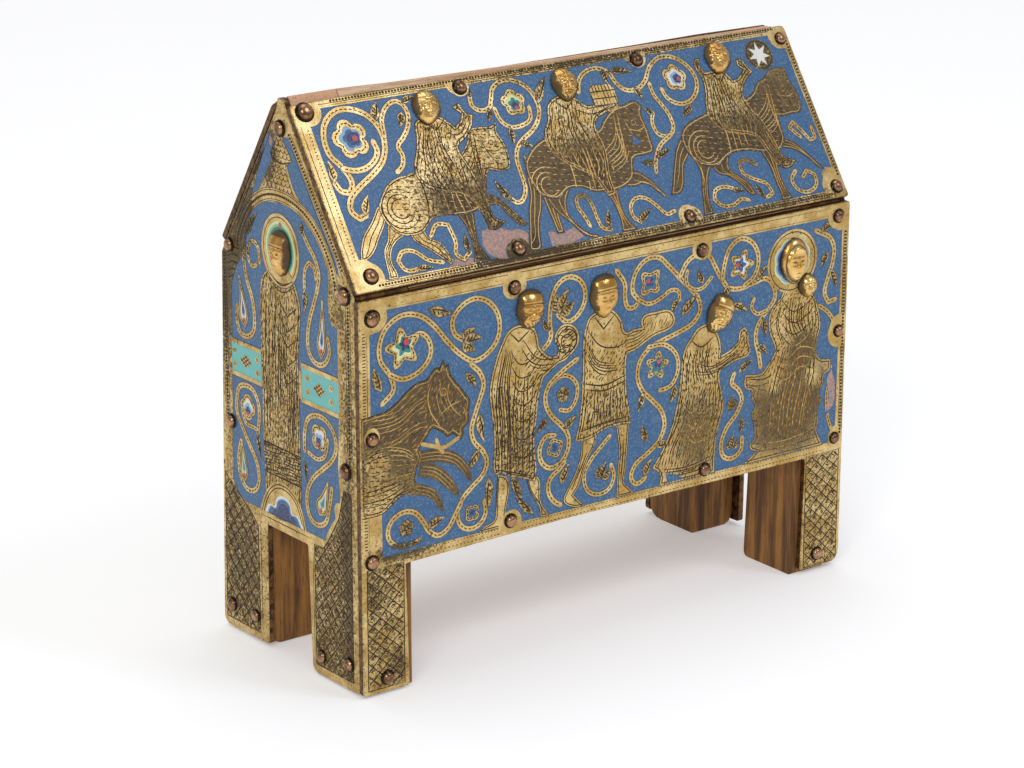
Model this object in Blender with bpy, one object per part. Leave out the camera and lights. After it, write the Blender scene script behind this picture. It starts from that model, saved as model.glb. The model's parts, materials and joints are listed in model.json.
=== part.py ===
"""Reliquary casket: a hollow oak box with a gabled roof on four feet, clad in six copper plates.

Everything is laid out from the casket's own corner: x runs along the front from its left end, y
runs back from the front plate's face and z runs up from the table. One empty then centres it.
"""

import math

import bmesh
import bpy
from mathutils import Matrix, Vector

MM = 0.001

# Driving dimensions
LENGTH = 200.0 * MM  # along the front plate
GAP = 0.3 * MM  # left between pieces that touch
PLATE = 2.2 * MM  # thickness of every copper plate
SKIN = PLATE + GAP  # from a plate's face to the oak behind it
WALL_TOP_Z = 129.8 * MM  # top of the front plate
BELLY_Z = 42.5 * MM  # lower edge of the front plate between its feet
PLATE_FOOT_Z = 0.9 * MM  # the plates' feet stop just above the table
RIGHT_FOOT_Z = 1.8 * MM
BACK_FACE_Y = 77.0 * MM
FOOT_WIDTH = 17.7 * MM  # of the long plates' feet at the table, and at the belly
FOOT_TOP_WIDTH = 16.6 * MM
GABLE_ARCH_Z = 42.9 * MM  # top of the opening between a gable's feet
GABLE_FRONT_FOOT_Y = (28.8 * MM, 30.3 * MM)  # back of the front foot, at the table and at the arch
GABLE_BACK_FOOT_Y = {"left": 52.8 * MM, "right": 49.0 * MM}  # front of the back foot
RIGHT_LEAN = 0.9 * MM  # the right end leans in this much at its feet
BACK_SPLAY = 4.4 * MM  # the back stands out this much at its feet

# Roof: each slope's eave, as (y, z), and its angle; the back slope is the steeper
FRONT_EAVE = (0.7 * MM, 131.9 * MM)
FRONT_SLOPE = math.radians(55.6)
FRONT_RISE = 63.3 * MM  # a roof plate's height, measured up its slope
BACK_EAVE = (76.9 * MM, 133.8 * MM)
BACK_SLOPE = math.radians(57.4)
BACK_RISE = 58.6 * MM

# Oak core
END_BOARD = 17.6 * MM
WALL_BOARD = 10.0 * MM
FLOOR_BOARD = 9.0 * MM
ROOF_BOARD = 9.0 * MM
CORE_BELLY_Z = 43.2 * MM
CORE_ARCH_Z = 44.0 * MM  # top of the opening between an end board's feet
CORE_TOP_Z = 129.9 * MM
FRONT_FOOT_BACK_Y = (26.9 * MM, 25.0 * MM)  # back of a front foot, at the table and at the arch
BACK_FOOT_FRONT_Y = {"left": 53.8 * MM, "right": 52.3 * MM}
FOOT_ROUND = 3.0 * MM
RIDGE_Z = {0.0: 185.4, 0.105: 185.4, 0.19: 184.6, 0.48: 183.5, 1.0: 182.9}  # share of length: mm

# Nails and applied heads
NAIL_RISE = 1.5 * MM
SHANK_RADIUS = 0.6 * MM
SHANK_LENGTH = 6.0 * MM
DRILL_RADIUS = SHANK_RADIUS + GAP
DRILL_DEPTH = SHANK_LENGTH + GAP
ROUND = 8  # sides of a nail and of its hole
HEAD_RELIEF = 4.2 * MM

CORE_FRONT_Y = SKIN
CORE_BACK_Y = BACK_FACE_Y - SKIN

COPPER_GILT = ((0.72, 0.53, 0.25), 0.38, 1.0)
COPPER_BROWN = ((0.34, 0.21, 0.12), 0.4, 1.0)
OAK = ((0.38, 0.22, 0.09), 0.65, 0.0)


def front_roof_z(y, inset=0.0):
    """Height over y of the front slope's face, or of the plane lying a distance inside it."""
    eave_y, eave_z = FRONT_EAVE
    return eave_z + (y - eave_y) * math.tan(FRONT_SLOPE) - inset / math.cos(FRONT_SLOPE)


def back_roof_z(y, inset=0.0):
    eave_y, eave_z = BACK_EAVE
    return eave_z + (eave_y - y) * math.tan(BACK_SLOPE) - inset / math.cos(BACK_SLOPE)


def ridge_y(inset):
    """Where the planes lying a distance inside the two slopes meet."""
    fall = back_roof_z(0.0, inset) - front_roof_z(0.0, inset)
    return fall / (math.tan(FRONT_SLOPE) + math.tan(BACK_SLOPE))


def front_y_at(z, inset):
    return (z - front_roof_z(0.0, inset)) / math.tan(FRONT_SLOPE)


def back_y_at(z, inset):
    return (back_roof_z(0.0, inset) - z) / math.tan(BACK_SLOPE)


def settled(point):
    """Moves a point as the old casket has settled: its right end leans in and its back stands out."""
    x, y, z = point
    right = max(0.0, 2 * x / LENGTH - 1) * (1 - z / (RIDGE_Z[0.0] * MM))
    back = max(0.0, 2 * y / BACK_FACE_Y - 1) * max(0.0, 1 - z / WALL_TOP_Z)
    return Vector((x - RIGHT_LEAN * right, y + BACK_SPLAY * back, z))


def worn_ridge(x):
    """Height of the worn oak ridge at x, read between its stations."""
    stations = sorted(RIDGE_Z)
    share = min(x / LENGTH, stations[-1])
    for low, high in zip(stations, stations[1:]):
        if share <= high:
            t = (share - low) / (high - low)
            return (RIDGE_Z[low] * (1 - t) + RIDGE_Z[high] * t) * MM
    return RIDGE_Z[stations[-1]] * MM


def clear_scene():
    for obj in list(bpy.data.objects):
        bpy.data.objects.remove(obj, do_unlink=True)


def make_material(name, look):
    colour, roughness, metallic = look
    material = bpy.data.materials.new(name)
    material.use_nodes = True
    shader = material.node_tree.nodes["Principled BSDF"]
    shader.inputs["Base Color"].default_value = (*colour, 1.0)
    shader.inputs["Roughness"].default_value = roughness
    shader.inputs["Metallic"].default_value = metallic
    material.diffuse_color = (*colour, 1.0)
    return material


def add_object(name, mesh, look, parent, matrix=None):
    """Links a mesh as one named piece with a material of its own."""
    obj = bpy.data.objects.new(name, mesh)
    bpy.context.scene.collection.objects.link(obj)
    obj.parent = parent
    if matrix is not None:
        obj.matrix_local = matrix
    if look is not None:
        mesh.materials.append(make_material(name, look))
    return obj


def mesh_from_bmesh(name, bm):
    bmesh.ops.recalc_face_normals(bm, faces=bm.faces)
    mesh = bpy.data.meshes.new(name)
    bm.to_mesh(mesh)
    bm.free()
    return mesh


def rounded(corners, steps=4):
    """Outline of (a, b, radius) corners, each turned as an arc of its radius."""
    outline = []
    for i, (a, b, radius) in enumerate(corners):
        here = Vector((a, b))
        if radius == 0:
            outline.append(here)
            continue
        before = Vector(corners[i - 1][:2]) - here
        after = Vector(corners[(i + 1) % len(corners)][:2]) - here
        reach = radius / math.tan(before.angle(after) / 2)
        start = here + before.normalized() * reach
        end = here + after.normalized() * reach
        for k in range(steps + 1):
            t = k / steps
            outline.append((1 - t) ** 2 * start + 2 * t * (1 - t) * here + t**2 * end)
    return outline


def loft(name, sections):
    """Closed solid through outlines of the same count, each a list of 3-D points."""
    bm = bmesh.new()
    loops = [[bm.verts.new(settled(point)) for point in section] for section in sections]
    for low, high in zip(loops, loops[1:]):
        for i in range(len(low)):
            j = (i + 1) % len(low)
            bm.faces.new((low[i], low[j], high[j], high[i]))
    bm.faces.new(reversed(loops[0]))
    bm.faces.new(loops[-1])
    return mesh_from_bmesh(name, bm)


def slab(name, outline, place, depth):
    """Solid of an outline laid out by place(a, b, n), from its face n = 0 down to n = -depth."""
    return loft(name, [[place(a, b, n) for a, b in outline] for n in (0.0, -depth)])


# Where each plate's own (across, up, out) coordinates lie on the casket


def on_front(a, b, n):
    return Vector((a, -n, b))


def on_back(a, b, n):
    return Vector((LENGTH - a, BACK_FACE_Y + n, b))


def on_left(a, b, n):
    """Left gable, with a running from the front edge to the back."""
    return Vector((-n, a, b))


def on_right(a, b, n):
    return Vector((LENGTH + n, a, b))


def on_front_roof(a, b, n):
    along = Vector((0, math.cos(FRONT_SLOPE), math.sin(FRONT_SLOPE)))
    out = Vector((0, -math.sin(FRONT_SLOPE), math.cos(FRONT_SLOPE)))
    return Vector((a, *FRONT_EAVE)) + along * b + out * n


def on_back_roof(a, b, n):
    along = Vector((0, -math.cos(BACK_SLOPE), math.sin(BACK_SLOPE)))
    out = Vector((0, math.sin(BACK_SLOPE), math.cos(BACK_SLOPE)))
    return Vector((LENGTH - a, *BACK_EAVE)) + along * b + out * n


def seat(place, a, b, n=0.0, tilt=0.0):
    """Matrix of a piece set on a plate: its Z points out of the plate, its Y up the plate."""
    origin = place(a, b, n)
    out = (place(a, b, n + MM) - origin).normalized()
    up = (place(a, b + MM, n) - origin).normalized()
    matrix = Matrix((up.cross(out), up, out)).transposed().to_4x4()
    matrix.translation = settled(origin)
    return matrix @ Matrix.Rotation(tilt, 4, "Z")


# Oak core


def end_board_section(x, foot_z, back_foot_y):
    """Outline of an end board in the plane at x: a gabled board cut into two legs at its foot."""
    low_y, high_y = FRONT_FOOT_BACK_Y
    top_z = worn_ridge(x)
    outline = rounded(
        [
            (CORE_FRONT_Y, foot_z, 1.0 * MM),
            (low_y, foot_z, 2.4 * MM),
            (high_y, CORE_ARCH_Z, 0.0),
            (back_foot_y, CORE_ARCH_Z, 0.0),
            (back_foot_y, foot_z, 1.2 * MM),
            (CORE_BACK_Y, foot_z, 6.0 * MM),
            (CORE_BACK_Y, back_roof_z(CORE_BACK_Y, SKIN), 0.0),
            (back_y_at(top_z, SKIN), top_z, 0.0),
            (front_y_at(top_z, SKIN), top_z, 0.0),
            (CORE_FRONT_Y, front_roof_z(CORE_FRONT_Y, SKIN), 0.0),
        ]
    )
    return [Vector((x, y, z)) for y, z in outline]


def make_end_board(name, outer_x, inward, back_foot_y, parent):
    """Board whose feet are rounded where they meet its outer face; inward is +1 or -1 along x."""
    part_way = 0.3 * FOOT_ROUND
    stations = [(0.0, FOOT_ROUND), (part_way, part_way), (FOOT_ROUND, 0.0), (END_BOARD, 0.0)]
    sections = [end_board_section(outer_x + inward * dx, z, back_foot_y) for dx, z in stations]
    return add_object(name, loft(name, sections), OAK, parent)


def make_long_board(name, outline, parent):
    """Board running between the end boards; outline(x) gives its (y, z) section at x."""
    start_x = SKIN + END_BOARD + GAP
    shares = (0.0, 0.12, 0.48, 1.0)
    stations = [start_x + share * (LENGTH - 2 * start_x) for share in shares]
    sections = [[Vector((x, y, z)) for y, z in outline(x)] for x in stations]
    return add_object(name, loft(name, sections), OAK, parent)


def board_section(low, high):
    """Upright rectangle from one (y, z) corner to the other, the same all along a board."""
    outline = [low, (high[0], low[1]), high, (low[0], high[1])]
    return lambda _x: outline


def front_roof_section(x):
    """The board stands on the wall's top and is mitred at the ridge, whose crest is worn away."""
    rest_z = CORE_TOP_Z + GAP
    top_z = worn_ridge(x)
    mitre_y = ridge_y(SKIN) - GAP / 2
    return [
        (front_y_at(rest_z, SKIN), rest_z),
        (front_y_at(rest_z, SKIN + ROOF_BOARD), rest_z),
        (mitre_y, front_roof_z(mitre_y, SKIN + ROOF_BOARD)),
        (mitre_y, top_z),
        (front_y_at(top_z, SKIN), top_z),
    ]


def back_roof_section(x):
    rest_z = CORE_TOP_Z + GAP
    top_z = worn_ridge(x)
    mitre_y = ridge_y(SKIN) + GAP / 2
    return [
        (CORE_BACK_Y, rest_z),
        (CORE_BACK_Y, back_roof_z(CORE_BACK_Y, SKIN)),
        (back_y_at(top_z, SKIN), top_z),
        (mitre_y, top_z),
        (mitre_y, back_roof_z(mitre_y, SKIN + ROOF_BOARD)),
        (back_y_at(rest_z, SKIN + ROOF_BOARD), rest_z),
    ]


# Copper plates


def wall_outline(left, right, left_foot_z, right_foot_z):
    """A long wall plate with its two feet, as (across, up) points."""
    return rounded(
        [
            (left, left_foot_z, 1.2 * MM),
            (left + FOOT_WIDTH, left_foot_z, 1.6 * MM),
            (left + FOOT_TOP_WIDTH, BELLY_Z - 0.5 * MM, 0.6 * MM),
            (0.6 * left + 0.4 * right, BELLY_Z + 0.6 * MM, 0.0),
            (right - FOOT_TOP_WIDTH, BELLY_Z - 0.3 * MM, 1.6 * MM),
            (right - FOOT_WIDTH, right_foot_z, 1.0 * MM),
            (right, right_foot_z, 4.6 * MM),
            (right, WALL_TOP_Z + 0.3 * MM, 1.0 * MM),
            (left, WALL_TOP_Z - 0.2 * MM, 0.8 * MM),
        ]
    )


def gable_outline(foot_z, back_foot_y, crown):
    """A gable plate as (from the front, up) points; crown lists the corners of its top."""
    low_y, high_y = GABLE_FRONT_FOOT_Y
    return rounded(
        [
            (SKIN, foot_z, 1.4 * MM),
            (low_y, foot_z - 0.3 * MM, 3.2 * MM),
            (high_y, GABLE_ARCH_Z, 0.8 * MM),
            (back_foot_y, GABLE_ARCH_Z, 0.6 * MM),
            (back_foot_y, foot_z + 0.4 * MM, 1.0 * MM),
            (BACK_FACE_Y, foot_z - 0.3 * MM, 4.0 * MM),
            (BACK_FACE_Y, back_roof_z(BACK_FACE_Y, SKIN), 0.8 * MM),
            *crown,
            (SKIN, front_roof_z(SKIN, SKIN), 0.8 * MM),
        ]
    )


def cut_crown():
    """The gable's top, cut level just under the worn ridge."""
    top_z = 182.4 * MM
    return [(back_y_at(top_z, SKIN), top_z, 0.6 * MM), (front_y_at(top_z, SKIN), top_z, 0.6 * MM)]


def tipped_crown():
    """The gable's top with its small rounded tip standing up between the roof plates."""
    back_y, front_y = 42.9 * MM, 38.7 * MM
    return [
        (back_y, back_roof_z(back_y, SKIN), 0.0),
        (back_y, 185.1 * MM, 1.3 * MM),
        (front_y, 185.0 * MM, 1.5 * MM),
        (front_y, front_roof_z(front_y, SKIN), 0.0),
    ]


def roof_outline(rise):
    return rounded(
        [
            (0.0, 0.0, 0.8 * MM),
            (LENGTH, 0.0, 0.8 * MM),
            (LENGTH, rise - 0.2 * MM, 2.0 * MM),
            (60.0 * MM, rise - 0.3 * MM, 0.0),
            (30.0 * MM, rise, 0.0),
            (0.0, rise - 0.6 * MM, 1.2 * MM),
        ]
    )


def plate_list():
    """Every copper plate: its name, how it lies on the casket and its outline."""
    back = (SKIN, LENGTH - SKIN)
    left_gable = gable_outline(PLATE_FOOT_Z, GABLE_BACK_FOOT_Y["left"], tipped_crown())
    right_gable = gable_outline(RIGHT_FOOT_Z - 0.4 * MM, GABLE_BACK_FOOT_Y["right"], cut_crown())
    return [
        ("plate_front", on_front, wall_outline(0.0, LENGTH, PLATE_FOOT_Z, RIGHT_FOOT_Z)),
        ("plate_back", on_back, wall_outline(*back, RIGHT_FOOT_Z, PLATE_FOOT_Z)),
        ("plate_gable_left", on_left, left_gable),
        ("plate_gable_right", on_right, right_gable),
        ("plate_roof_front", on_front_roof, roof_outline(FRONT_RISE)),
        ("plate_roof_back", on_back_roof, roof_outline(BACK_RISE)),
    ]


# Nails in mm: across and up on their plate, and the dome's radius. Across a gable runs from its front.
NAILS = {
    "front": [
        (4.9, 123.7, 2.9), (58.9, 124.2, 2.5), (135.3, 123.6, 2.5), (194.9, 125.7, 2.5),
        (4.3, 85.1, 2.4), (196.5, 85.3, 2.2), (196.2, 47.2, 2.2), (3.8, 45.1, 2.6),
        (57.3, 47.3, 2.5), (138.1, 47.8, 2.4), (9.0, 5.6, 2.5), (189.7, 6.6, 2.5),
    ],
    "roof": [
        (4.6, 59.8, 3.3), (63.1, 59.8, 2.7), (134.4, 59.3, 2.6), (196.4, 58.4, 2.3),
        (7.0, 4.8, 2.7), (62.9, 4.4, 2.6), (132.2, 3.7, 2.4), (196.2, 3.9, 2.5),
    ],
    "gable": [
        (41.3, 175.6, 2.8), (7.3, 129.9, 3.0), (72.1, 132.1, 2.5), (71.8, 72.8, 2.5), (8.0, 73.5, 2.8),
        (72.1, 8.8, 2.5), (59.3, 9.1, 2.3), (23.3, 7.3, 2.4), (7.8, 9.5, 2.5),
    ],
    "back": [(9.0, 7.0, 2.5), (186.0, 7.0, 2.5)],
}  # fmt: skip


def ring(bm, radius, height, sides=ROUND):
    turn = 2 * math.pi / sides
    return [
        bm.verts.new((radius * math.cos(k * turn), radius * math.sin(k * turn), height))
        for k in range(sides)
    ]


def turned(name, profile):
    """Solid turned about Z from (radius, height) pairs; the first and last lie on the axis."""
    bm = bmesh.new()
    top = bm.verts.new((0, 0, profile[0][1]))
    bottom = bm.verts.new((0, 0, profile[-1][1]))
    rings = [ring(bm, radius, height) for radius, height in profile[1:-1]]
    for i in range(ROUND):
        j = (i + 1) % ROUND
        bm.faces.new((top, rings[0][i], rings[0][j]))
        for high, low in zip(rings, rings[1:]):
            bm.faces.new((high[i], low[i], low[j], high[j]))
        bm.faces.new((rings[-1][j], rings[-1][i], bottom))
    return mesh_from_bmesh(name, bm)


def nail_mesh(radius):
    """Domed nail head with its pointed shank; its seat on the plate is at height 0."""
    dome = [
        (0.0, NAIL_RISE + GAP),
        (0.55 * radius, 0.9 * NAIL_RISE + GAP),
        (0.92 * radius, 0.5 * NAIL_RISE + GAP),
        (radius, GAP),
    ]
    shank = [
        (SHANK_RADIUS, GAP),
        (SHANK_RADIUS, -0.7 * SHANK_LENGTH),
        (0.0, -SHANK_LENGTH),
    ]
    mesh = turned("nail", dome + shank)
    mesh.shade_smooth()
    mesh.set_sharp_from_angle(angle=math.radians(50))
    return mesh


def drill_mesh():
    hole = [(DRILL_RADIUS, 3 * MM), (DRILL_RADIUS, -DRILL_DEPTH)]
    return turned("drill", [(0.0, 3 * MM), *hole, (0.0, -DRILL_DEPTH)])


def make_drill(name, seats, parent):
    """One hidden cutter holding every hole of a face."""
    bm = bmesh.new()
    pattern = drill_mesh()
    for matrix in seats:
        copy = pattern.copy()
        copy.transform(matrix)
        bm.from_mesh(copy)
        bpy.data.meshes.remove(copy)
    bpy.data.meshes.remove(pattern)
    cutter = add_object(name, mesh_from_bmesh(name, bm), None, parent)
    cutter.hide_render = True
    cutter.display_type = "WIRE"
    return cutter


def bore(target, cutter):
    modifier = target.modifiers.new("bore_" + cutter.name, "BOOLEAN")
    modifier.operation = "DIFFERENCE"
    modifier.solver = "EXACT"
    modifier.object = cutter


def make_nails(name, seats, radii, parent):
    for count, (matrix, radius) in enumerate(zip(seats, radii), start=1):
        add_object(f"{name}_{count:02d}", nail_mesh(radius * MM), COPPER_BROWN, parent, matrix)


# Applied heads: plate, middle (across, up) in mm, width and height in mm, tilt in degrees, dress
HEADS = {
    "head_rider_1": (on_front_roof, 48.0, 54.8, 9.2, 10.8, -16, "hair"),
    "head_rider_2": (on_front_roof, 102.6, 54.8, 9.2, 10.8, -8, "hair"),
    "head_rider_3": (on_front_roof, 167.0, 55.2, 9.4, 10.8, -20, "hair"),
    "head_magus_1": (on_front, 64.6, 116.2, 9.8, 12.0, -4, "crown"),
    "head_magus_2": (on_front, 94.3, 115.4, 10.4, 13.4, 2, "crown"),
    "head_magus_3": (on_front, 142.9, 100.8, 9.8, 12.6, -30, "crown"),
    "head_virgin": (on_front, 175.2, 113.4, 10.8, 14.6, 0, "veil"),
    "head_child": (on_front, 181.4, 104.0, 6.8, 7.6, 0, "hair"),
    "head_saint_left": (on_left, 42.0, 135.8, 10.0, 13.6, 0, "crown"),
    "head_saint_right": (on_right, 40.0, 135.8, 10.0, 13.6, 0, "hair"),
}


def bump(value, middle, spread):
    return math.exp(-(((value - middle) / spread) ** 2))


def head_relief(s, t, dress):
    """Rise of a face over its egg-shaped mask, as a share of the relief; s and t run from -1 to 1."""
    nose = 0.26 * bump(s, 0, 0.16) * bump(t, -0.12, 0.26)
    brow = 0.10 * bump(abs(s), 0.34, 0.22) * bump(t, 0.2, 0.1)
    eyes = -0.10 * bump(abs(s), 0.34, 0.16) * bump(t, 0.04, 0.1)
    mouth = -0.07 * bump(s, 0, 0.26) * bump(t, -0.56, 0.07)
    chin = 0.08 * bump(s, 0, 0.26) * bump(t, -0.78, 0.14)
    rise = nose + brow + eyes + mouth + chin
    covered = {"hair": t > 0.42, "crown": t > 0.36, "veil": t > 0.5 or abs(s) > 0.74}[dress]
    if covered:
        rise = 0.14 if dress != "crown" else 0.2 + 0.08 * math.cos(3 * math.pi * s)
    return rise


def head_mesh(name, width, height, dress, rows=11, columns=11):
    """Applied head: a domed mask, broad at the brow and narrow at the chin, with a flat back."""
    bm = bmesh.new()
    grid = []
    for i in range(rows):
        t = -1 + 2 * i / (rows - 1)
        half = width / 2 * math.sqrt(max(0.0, 1 - 0.93 * t * t)) * (1 + 0.13 * t)
        line = []
        for j in range(columns):
            s = -1 + 2 * j / (columns - 1)
            dome = math.sqrt(max(0.0, 1 - s * s)) * math.sqrt(max(0.0, 1 - t * t)) ** 0.8
            rise = GAP + HEAD_RELIEF * min(1.0, 0.12 + 0.66 * dome + dome * head_relief(s, t, dress))
            line.append(bm.verts.new((s * half, t * height / 2, rise)))
        grid.append(line)
    for low, high in zip(grid, grid[1:]):
        for j in range(columns - 1):
            bm.faces.new((low[j], low[j + 1], high[j + 1], high[j]))
    rim = grid[0] + [line[-1] for line in grid[1:]] + grid[-1][-2::-1] + [line[0] for line in grid[-2:0:-1]]
    back = [bm.verts.new((vert.co.x, vert.co.y, GAP)) for vert in rim]
    for i, (vert, base) in enumerate(zip(rim, back)):
        j = (i + 1) % len(rim)
        bm.faces.new((vert, base, back[j], rim[j]))
    bm.faces.new(back)
    mesh = mesh_from_bmesh(name, bm)
    mesh.shade_smooth()
    mesh.set_sharp_from_angle(angle=math.radians(55))
    return mesh


def make_heads(parent):
    for name, (place, across, up, width, height, tilt, dress) in HEADS.items():
        matrix = seat(place, across * MM, up * MM, 0.0, math.radians(tilt))
        mesh = head_mesh(name, width * MM, height * MM, dress)
        add_object(name, mesh, COPPER_GILT, parent, matrix)


def make_core(parent):
    floor_front_y = CORE_FRONT_Y + WALL_BOARD + GAP
    floor_back_y = CORE_BACK_Y - WALL_BOARD - GAP
    floor_z = CORE_BELLY_Z + 1.0 * MM
    walls = {
        "oak_wall_front": board_section(
            (CORE_FRONT_Y, CORE_BELLY_Z), (CORE_FRONT_Y + WALL_BOARD, CORE_TOP_Z)
        ),
        "oak_wall_back": board_section(
            (CORE_BACK_Y - WALL_BOARD, CORE_BELLY_Z), (CORE_BACK_Y, CORE_TOP_Z)
        ),
        "oak_floor": board_section(
            (floor_front_y, floor_z), (floor_back_y, floor_z + FLOOR_BOARD)
        ),
        "oak_roof_front": front_roof_section,
        "oak_roof_back": back_roof_section,
    }
    core = {name: make_long_board(name, outline, parent) for name, outline in walls.items()}
    for side, outer_x, inward in (("left", SKIN, 1), ("right", LENGTH - SKIN, -1)):
        name = "oak_end_" + side
        core[name] = make_end_board(name, outer_x, inward, BACK_FOOT_FRONT_Y[side], parent)
    return core


def set_on_table(casket):
    """Moves the whole casket so that its box's middle stands over the origin."""
    bpy.context.view_layer.update()
    visible = [child for child in casket.children if not child.hide_render]
    corners = [child.matrix_world @ vert.co for child in visible for vert in child.data.vertices]
    for axis in (0, 1):
        low = min(corner[axis] for corner in corners)
        high = max(corner[axis] for corner in corners)
        casket.location[axis] = -(low + high) / 2


def main():
    clear_scene()
    casket = bpy.data.objects.new("casket", None)
    bpy.context.scene.collection.objects.link(casket)

    pieces = make_core(casket)
    for name, place, outline in plate_list():
        pieces[name] = add_object(name, slab(name, outline, place, PLATE), COPPER_GILT, casket)

    ends = ("oak_end_left", "oak_end_right")
    nailed = {
        "front": (on_front, ("plate_front", "oak_wall_front", *ends)),
        "roof": (on_front_roof, ("plate_roof_front", "oak_roof_front", *ends)),
        "gable": (on_left, ("plate_gable_left", "oak_end_left")),
        "back": (on_back, ("plate_back", *ends)),
    }
    for side, (place, targets) in nailed.items():
        seats = [seat(place, a * MM, b * MM) for a, b, _ in NAILS[side]]
        make_nails("nail_" + side, seats, [radius for _, _, radius in NAILS[side]], casket)
        cutter = make_drill("holes_" + side, seats, casket)
        for target in targets:
            bore(pieces[target], cutter)
    make_heads(casket)
    set_on_table(casket)


main()
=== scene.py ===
"""Finish and fine relief of an enamelled reliquary casket: plates, nails, heads and oak.

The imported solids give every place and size. Each plate's picture is drawn in millimetres on its
own face, (across, up), and becomes relief: metal stands proud, enamel lies lower and engraved
lines are cut in.
"""

import json
import logging
import math
from collections.abc import Iterator, Sequence
from contextlib import contextmanager
from dataclasses import dataclass, field
from enum import Enum

import bmesh
import bpy
import numpy as np
from mathutils import Matrix, Vector
from mathutils.geometry import delaunay_2d_cdt

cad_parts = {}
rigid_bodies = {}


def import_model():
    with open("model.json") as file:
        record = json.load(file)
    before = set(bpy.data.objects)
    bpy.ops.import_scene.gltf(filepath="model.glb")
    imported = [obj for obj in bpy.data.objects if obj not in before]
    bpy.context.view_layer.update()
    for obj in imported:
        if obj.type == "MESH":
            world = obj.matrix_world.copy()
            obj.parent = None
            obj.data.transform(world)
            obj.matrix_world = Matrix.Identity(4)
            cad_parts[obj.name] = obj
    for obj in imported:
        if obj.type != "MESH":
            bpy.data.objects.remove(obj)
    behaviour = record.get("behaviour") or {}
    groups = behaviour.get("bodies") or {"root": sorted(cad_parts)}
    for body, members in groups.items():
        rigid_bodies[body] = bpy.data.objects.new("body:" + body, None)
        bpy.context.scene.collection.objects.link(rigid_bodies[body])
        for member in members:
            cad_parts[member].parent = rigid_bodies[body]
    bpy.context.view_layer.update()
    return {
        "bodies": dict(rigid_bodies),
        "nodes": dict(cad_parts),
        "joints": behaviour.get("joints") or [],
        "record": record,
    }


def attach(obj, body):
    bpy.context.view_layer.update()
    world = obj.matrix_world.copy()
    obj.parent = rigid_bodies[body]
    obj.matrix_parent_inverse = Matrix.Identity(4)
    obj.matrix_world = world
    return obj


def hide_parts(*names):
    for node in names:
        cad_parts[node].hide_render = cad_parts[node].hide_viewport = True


MM = 0.001
PLATE = 2.2  # mm, thickness of every copper plate
ROOF_SLOPE = math.radians(55.6)
EDGE = 0.35  # mm, worn rounding of a plate's edges
HAIRLINE = 0.34  # mm, usual width of an engraved line
JOINT = 0.3  # mm, dark joint round reserved metal
STEP = 0.8  # mm, usual spacing of a curve's own points
SOFTEST_CORNER = 0.35  # cosine of the turn from which a curve keeps a corner
BATCH = 20000  # spots that are tested against an outline at a time
FACING = 0.995  # cosine of the slant up to which a facet belongs to a plate's outer face
PEARL_MARGIN = 0.8  # mm, least distance of a pearl's middle from a plate's edge
WELD = 1e-6  # m, packed corners nearer than this are one
MERGE = 1e-4  # mm, drawn points nearer than this are one
FOOT_TOP = 40.0  # mm, where the feet end and the field of a plate starts
BODY = "root"
log = logging.getLogger("casket")

Pair = tuple[float, float]  # mostly (across, up) in millimetres on a plate
Path = np.ndarray  # rows of such pairs
Points = Sequence[Pair] | Path
Colour = tuple[float, float, float]


def srgb(red: int, green: int, blue: int) -> Colour:
    """Linear colour of 8-bit display values."""
    share = np.array((red, green, blue)) / 255
    linear = np.where(share < 0.04045, share / 12.92, ((share + 0.055) / 1.055) ** 2.4)
    return tuple(float(value) for value in linear)


class Enamel(Enum):
    """Colours of the enamel cells."""

    BLUE = srgb(42, 90, 134)
    DEEP = srgb(24, 30, 84)
    SHADE = srgb(30, 42, 74)
    PALE = srgb(140, 176, 208)
    WHITE = srgb(232, 232, 222)
    TURQUOISE = srgb(104, 188, 180)
    TEAL = srgb(30, 128, 116)
    GREEN = srgb(150, 196, 130)
    YELLOW = srgb(222, 228, 160)
    RED = srgb(196, 60, 52)


class Layer(Enum):
    """What a spot of a plate's face is, with how far below the metal it lies, in millimetres."""

    METAL = 0.0
    ENAMEL = 0.09
    LINE = 0.15
    LOSS = 0.22


LAYERS = list(Layer)


class Tip(Enum):
    """How a drawn line ends."""

    ROUND = "round"
    BOTH = "both"  # tapers at both ends
    LAST = "last"  # tapers at its last end
    BLUNT = "blunt"


# ---------------------------------------------------------------------------
# Lines on a plate


def smooth(points: Points, closed: bool = False, step: float = STEP) -> Path:
    """Curve through points. A turn sharper than about 70 degrees stays a corner.

    Args:
        points: the points that the curve passes through.
        closed: True joins the last point to the first.
        step: spacing of the curve's own points, in millimetres.

    Returns:
        The curve's points.
    """
    knots = np.asarray(points, float)
    count = len(knots)
    if closed:
        before, after = np.roll(knots, 1, axis=0), np.roll(knots, -1, axis=0)
    else:
        before, after = np.vstack([knots[:1], knots[:-1]]), np.vstack([knots[1:], knots[-1:]])
    into, away = unit(knots - before), unit(after - knots)
    tangent = unit(into + away)
    corner = np.sum(into * away, axis=1) < SOFTEST_CORNER
    spans = count if closed else count - 1
    pieces = []
    for i in range(spans):
        j = (i + 1) % count
        chord = knots[j] - knots[i]
        length = float(np.hypot(*chord))
        start = chord if corner[i] else tangent[i] * length
        end = chord if corner[j] else tangent[j] * length
        t = np.linspace(0, 1, max(2, round(length / step) + 1))[:-1, None]
        pieces.append(
            (2 * t**3 - 3 * t**2 + 1) * knots[i]
            + (t**3 - 2 * t**2 + t) * start
            + (3 * t**2 - 2 * t**3) * knots[j]
            + (t**3 - t**2) * end
        )
    if not closed:
        pieces.append(knots[-1:])
    return np.vstack(pieces)


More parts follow.
